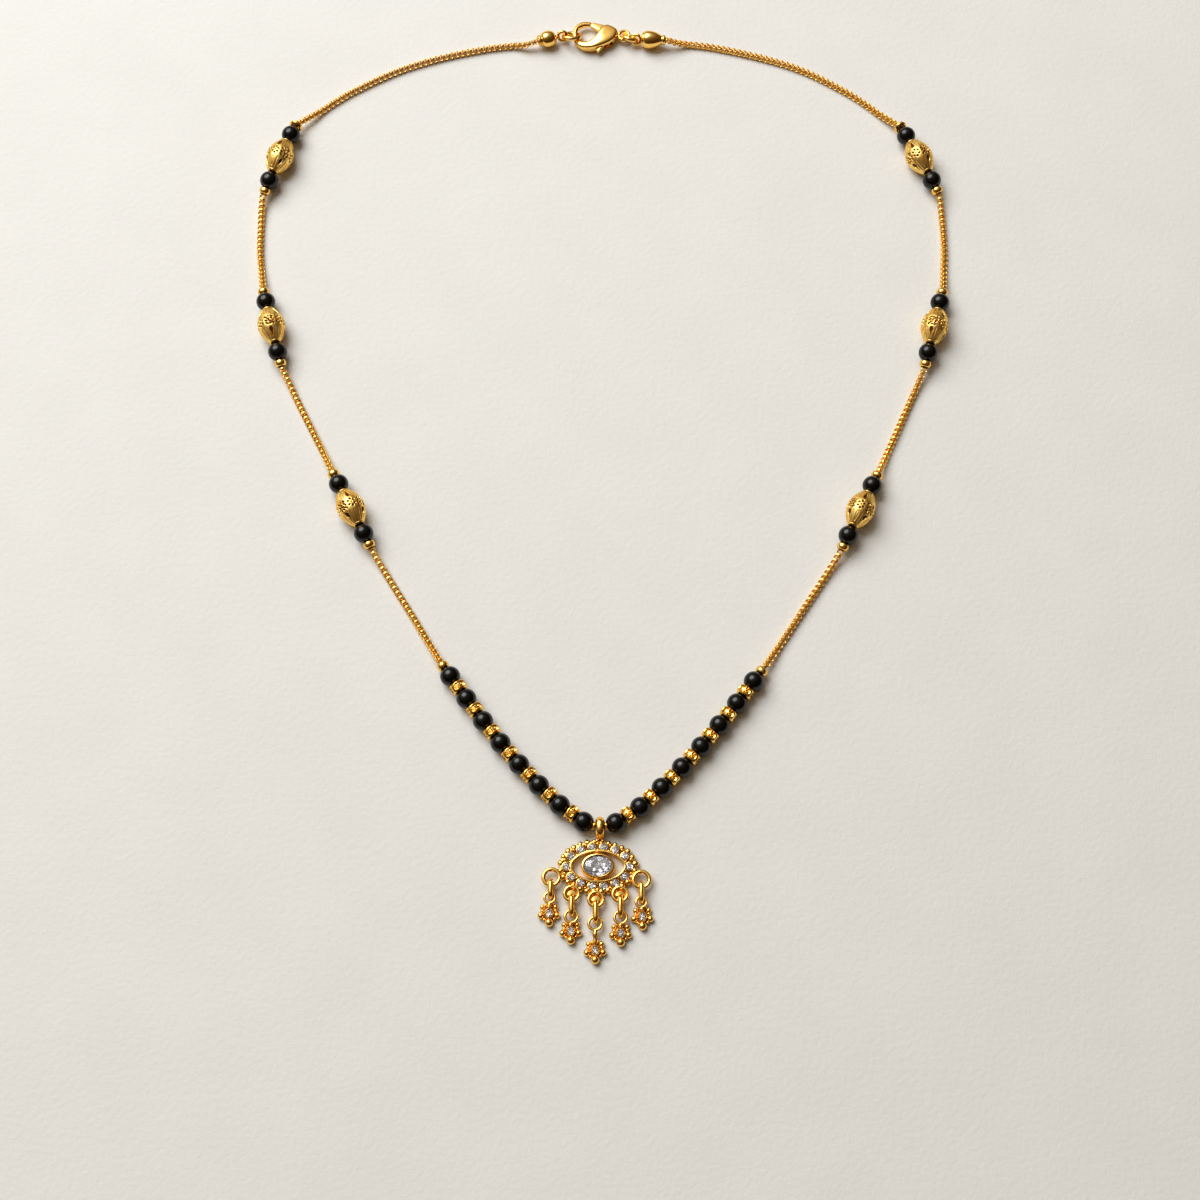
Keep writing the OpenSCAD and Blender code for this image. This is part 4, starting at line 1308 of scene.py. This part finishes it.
def bail_shapes():
    """A thick polished ring that stands on edge, on a short post with a forked foot."""
    path = stadium(BAIL_HALF_LENGTH, BAIL_HALF_HEIGHT, BAIL_HALF_HEIGHT, 14)
    ring = band(path, ellipse(*BAIL_SECTION, 20))
    top = BAIL_AT - [0, 1.9, 0.9]
    post = taper(top + [0, 0.5, 0.5], top - [0, 0.9, 0.55], POST_RADII, 14)
    foot = ball(FOOT_R, 14, 9)
    feet = [foot.moved(BAIL_AT[0] + k * FOOT_ASIDE, PLATE_H / 2 - 0.05, FOOT_Z) for k in (-1, 1)]
    return [ring.turned(ON_EDGE, BAIL_AT), post] + feet


def drop_ring_shapes():
    """The five soldered rings, and a web with painted shade behind each of the middle three."""
    rings, webs = [], []
    for k, (x, y, r, *_) in enumerate(DROP_TABLE):
        wire = OUTER_RING_WIRE if k in OUTER_DROPS else RING_WIRE
        rings.append(torus(r + RING_SPARE, wire, 44, 14).moved(x, y, LINK_Z))
        if k not in OUTER_DROPS:
            a = math.pi * np.arange(17) / 16
            web = np.stack([x + r * np.cos(a), y - WEB_UNDER + (r + WEB_TALLER) * np.sin(a)], axis=1)
            webs.append(slab(web, WEB_BOTTOM, WEB_TOP, 0.08).shade_painted_on(WEB_SHADE))
    return rings + webs


def in_place(shapes):
    return [s.moved(*PENDANT_AT) for s in shapes]


def add_pendant():
    seats, stones = halo_shapes()
    gold = [plate_shape()] + seats + bezel_shapes() + bail_shapes() + drop_ring_shapes()
    gold += [ball(r, 18, 12).moved(x, y, r) for x, y, r in SIDE_GRANULES]
    add_piece("pendant_setting", [(GOLD_OPENWORK, in_place(gold))], ["pendant_frame"])
    add_piece("halo_stones", [(CRYSTAL, in_place(stones)), (FOIL, [])])
    cut = dict(crown=0.55, girdle=0.1, pavilion=0.6, table=0.5, n=9, steps=6)
    centre = placed([brilliant(STONE_W / 2, STONE_H / 2, **cut)], UP, PENDANT_AT + [0, 0, STONE_GIRDLE_Z])
    add_piece("oval_stone", [(CRYSTAL, centre), (FOIL, [])], ["centre_stone"])


# Oval links: half their width, the radius of their wire, and how far the middle of the lower bend is
# above the wire of the drop's loop
DROP_LINK_HALF = 0.82
DROP_LINK_WIRE = 0.54
DROP_LINK_OVER = 0.05


def add_drop_links():
    """One oval link in each drop, standing on its edge between the soldered ring and the drop's loop."""
    shapes = []
    for ring_x, ring_y, ring_r, loop_x, loop_y, loop_r, _, _ in DROP_TABLE:
        top, bottom = ring_y - ring_r - RING_SPARE, loop_y + loop_r + DROP_LINK_OVER
        path = stadium((top - bottom) / 2 + DROP_LINK_HALF, DROP_LINK_HALF, DROP_LINK_HALF, 12)
        middle = [(ring_x + loop_x) / 2, (top + bottom) / 2, LINK_Z]
        shapes.append(band(path, circle(DROP_LINK_WIRE, 18)).turned(ON_EDGE, middle))
    add_piece("oval_links", [(GOLD, in_place(shapes))], ["drop_links"])


# The granules round each flower (x, y, radius), and smaller bits of gold between them
FLOWER_GRANULES = [
    [0, -1.7, 0.85], [-1.55, -0.35, 0.68], [1.5, -0.3, 0.66], [-1.25, 1.25, 0.54], [1.2, 1.3, 0.56],
    [0, 1.45, 0.5]
]
FLOWER_BITS = [
    [-0.9, -1.1, 0.34], [0.95, -1.0, 0.3], [-1.25, 0.5, 0.36], [1.2, 0.6, 0.33], [-0.6, 1.6, 0.34],
    [0.55, 1.75, 0.3]
]
FLOWER_BIT_Z = 0.75
FLOWER_CUP = [[0, 0.1], [1.2, 0.1], [1.4, 0.3], [1.3, 0.6], [1.0, 0.78], [0, 0.78]]
# The stone and the wall round it: half sizes, and the wall's section
FLOWER_STONE = (0.64, 0.84)
FLOWER_STONE_Z = 1.36
WALL_INNER = (0.66, 0.86)
WALL_OUTER = (0.96, 1.2)
WALL_SECTION = [(0.0, 0.6), (0.0, 1.3), (0.12, 1.42), (0.4, 1.48), (0.7, 1.42), (0.92, 1.2), (1.0, 0.6)]
FLOWER_CORNER = 1.4
FLOWER_LOOP_WIRE = 0.3
FLOWER_NECK_RADII = [0.32, 0.4, 0.5, 0.52, 0.42, 0.36, 0.42, 0.44, 0.36]


def lozenge(half_x, half_y):
    """An outline between an ellipse and a lozenge."""
    a = angles(40)
    drawn = drawn_out(a, FLOWER_CORNER)
    return np.stack([half_x * drawn * np.cos(a), half_y * drawn * np.sin(a)], axis=1)


def flower_shapes(loop_x, loop_y, loop_r, x, y):
    """A drop's gold: granules and bits round a cup with a wall for the stone, a loop and a ribbed neck."""
    gold = [granule(r, x + out_x, y + out_y, r) for out_x, out_y, r in FLOWER_GRANULES]
    gold += [granule(r, x + out_x, y + out_y, FLOWER_BIT_Z, 12, 8) for out_x, out_y, r in FLOWER_BITS]
    # Painted shade all over the cup, deep among the granules
    gold.append(lathe(FLOWER_CUP, 36).moved(x, y).shade_painted_on(PAINTED_RECESS_SHADE))
    gold.append(eye_ring(lozenge(*WALL_INNER), lozenge(*WALL_OUTER), WALL_SECTION).moved(x, y))
    gold.append(torus(loop_r, FLOWER_LOOP_WIRE, 36, 12).moved(loop_x, loop_y, LINK_Z))
    gold.append(taper([loop_x, loop_y - loop_r + 0.1, LINK_Z], [x, y + 1.2, 0.9], FLOWER_NECK_RADII, 14))
    return gold


def add_drops():
    for number, (_, _, _, *loop, x, y) in enumerate(DROP_TABLE, 1):
        gold = in_place(flower_shapes(*loop, x, y))
        add_piece(f"flower_{number}", [(GOLD_OPENWORK, gold)], [f"flower_drop_{number}"])
        stone = brilliant(*FLOWER_STONE, crown=0.26, girdle=0.05, pavilion=0.26, corner=FLOWER_CORNER)
        stone = in_place([stone.moved(x, y, FLOWER_STONE_Z)])
        add_piece(f"flower_stone_{number}", [(CRYSTAL, stone), (FOIL, [])])


# Stage, light and camera
FLOOR_HALF = 4.0
KEY_TOWARDS = (-0.42, 0.48, 0.77)
KEY_DISTANCE = 0.9
KEY_SIZE = 0.76
KEY_POWER = 7.8
KEY_COLOUR = (0.965, 0.985, 0.99)
# The studio's glow by the cosine of the angle from the key light: dark behind, a soft halo round the key
STUDIO_GLOW = [
    (0.0, (0.06, 0.033, 0.014)), (0.5, (0.15, 0.103, 0.055)), (0.74, (0.36, 0.31, 0.245)),
    (0.87, (0.76, 0.73, 0.68)), (0.93, (1.2, 1.18, 1.13)), (1.0, (1.5, 1.48, 1.42))
]
HORIZON = (0.2, 0.152, 0.1)
HORIZON_HEIGHT = 0.2
CAMERA_AT = (0.0, -0.16641, 0.36930)
CAMERA_TILT = math.radians(20)
CAMERA_LENS = 58.95


def add_floor():
    half = FLOOR_HALF
    mesh = bpy.data.meshes.new("floor")
    corners = [(-half, -half, 0), (half, -half, 0), (half, half, 0), (-half, half, 0)]
    mesh.from_pydata(corners, [], [(0, 1, 2, 3)])
    mesh.materials.append(floor_material())
    floor = add_object("floor", mesh)


def add_key_light():
    """A round softbox that shines at the necklace."""
    data = bpy.data.lights.new("key", "AREA")
    data.shape = "DISK"
    data.size = KEY_SIZE
    data.energy = KEY_POWER
    data.color = KEY_COLOUR
    light = add_object("key", data)
    place = Vector(unit(KEY_TOWARDS) * KEY_DISTANCE)
    light.location = place
    light.rotation_euler = (-place).to_track_quat("-Z", "Y").to_euler()


def add_studio_world():
    """Soft light that is strongest round the key light, with a dim warm horizon."""
    world = bpy.data.worlds.new("studio")
    world.use_nodes = True
    tree = world.node_tree
    background = tree.nodes["Background"]
    place = tree.nodes.new("ShaderNodeTexCoord")
    dot = tree.nodes.new("ShaderNodeVectorMath")
    dot.operation = "DOT_PRODUCT"
    dot.inputs[1].default_value = unit(KEY_TOWARDS)
    tree.links.new(place.outputs["Generated"], dot.inputs[0])
    glow = ramp(tree, dot.outputs["Value"], STUDIO_GLOW)
    height = tree.nodes.new("ShaderNodeSeparateXYZ")
    tree.links.new(place.outputs["Generated"], height.inputs["Vector"])
    low = ramp(tree, height.outputs["Z"], [(0.0, 1.0), (HORIZON_HEIGHT, 0.0)])
    tree.links.new(mix(tree, low, glow, HORIZON), background.inputs["Color"])
    background.inputs["Strength"].default_value = 1.0
    bpy.context.scene.world = world


def add_camera():
    data = bpy.data.cameras.new("camera")
    data.lens = CAMERA_LENS
    data.sensor_width = 36.0
    data.clip_start = 0.01
    camera = add_object("camera", data)
    camera.location = CAMERA_AT
    camera.rotation_euler = (CAMERA_TILT, 0, 0)
    bpy.context.scene.camera = camera


add_black_beads()
add_oval_beads()
add_front_string()
add_station_strings()
add_chains()
add_end_caps()
add_jump_rings()
add_clasp()
add_pendant()
add_drop_links()
add_drops()
add_floor()
add_studio_world()
add_key_light()
add_camera()
bpy.context.scene.view_settings.view_transform = "Standard"
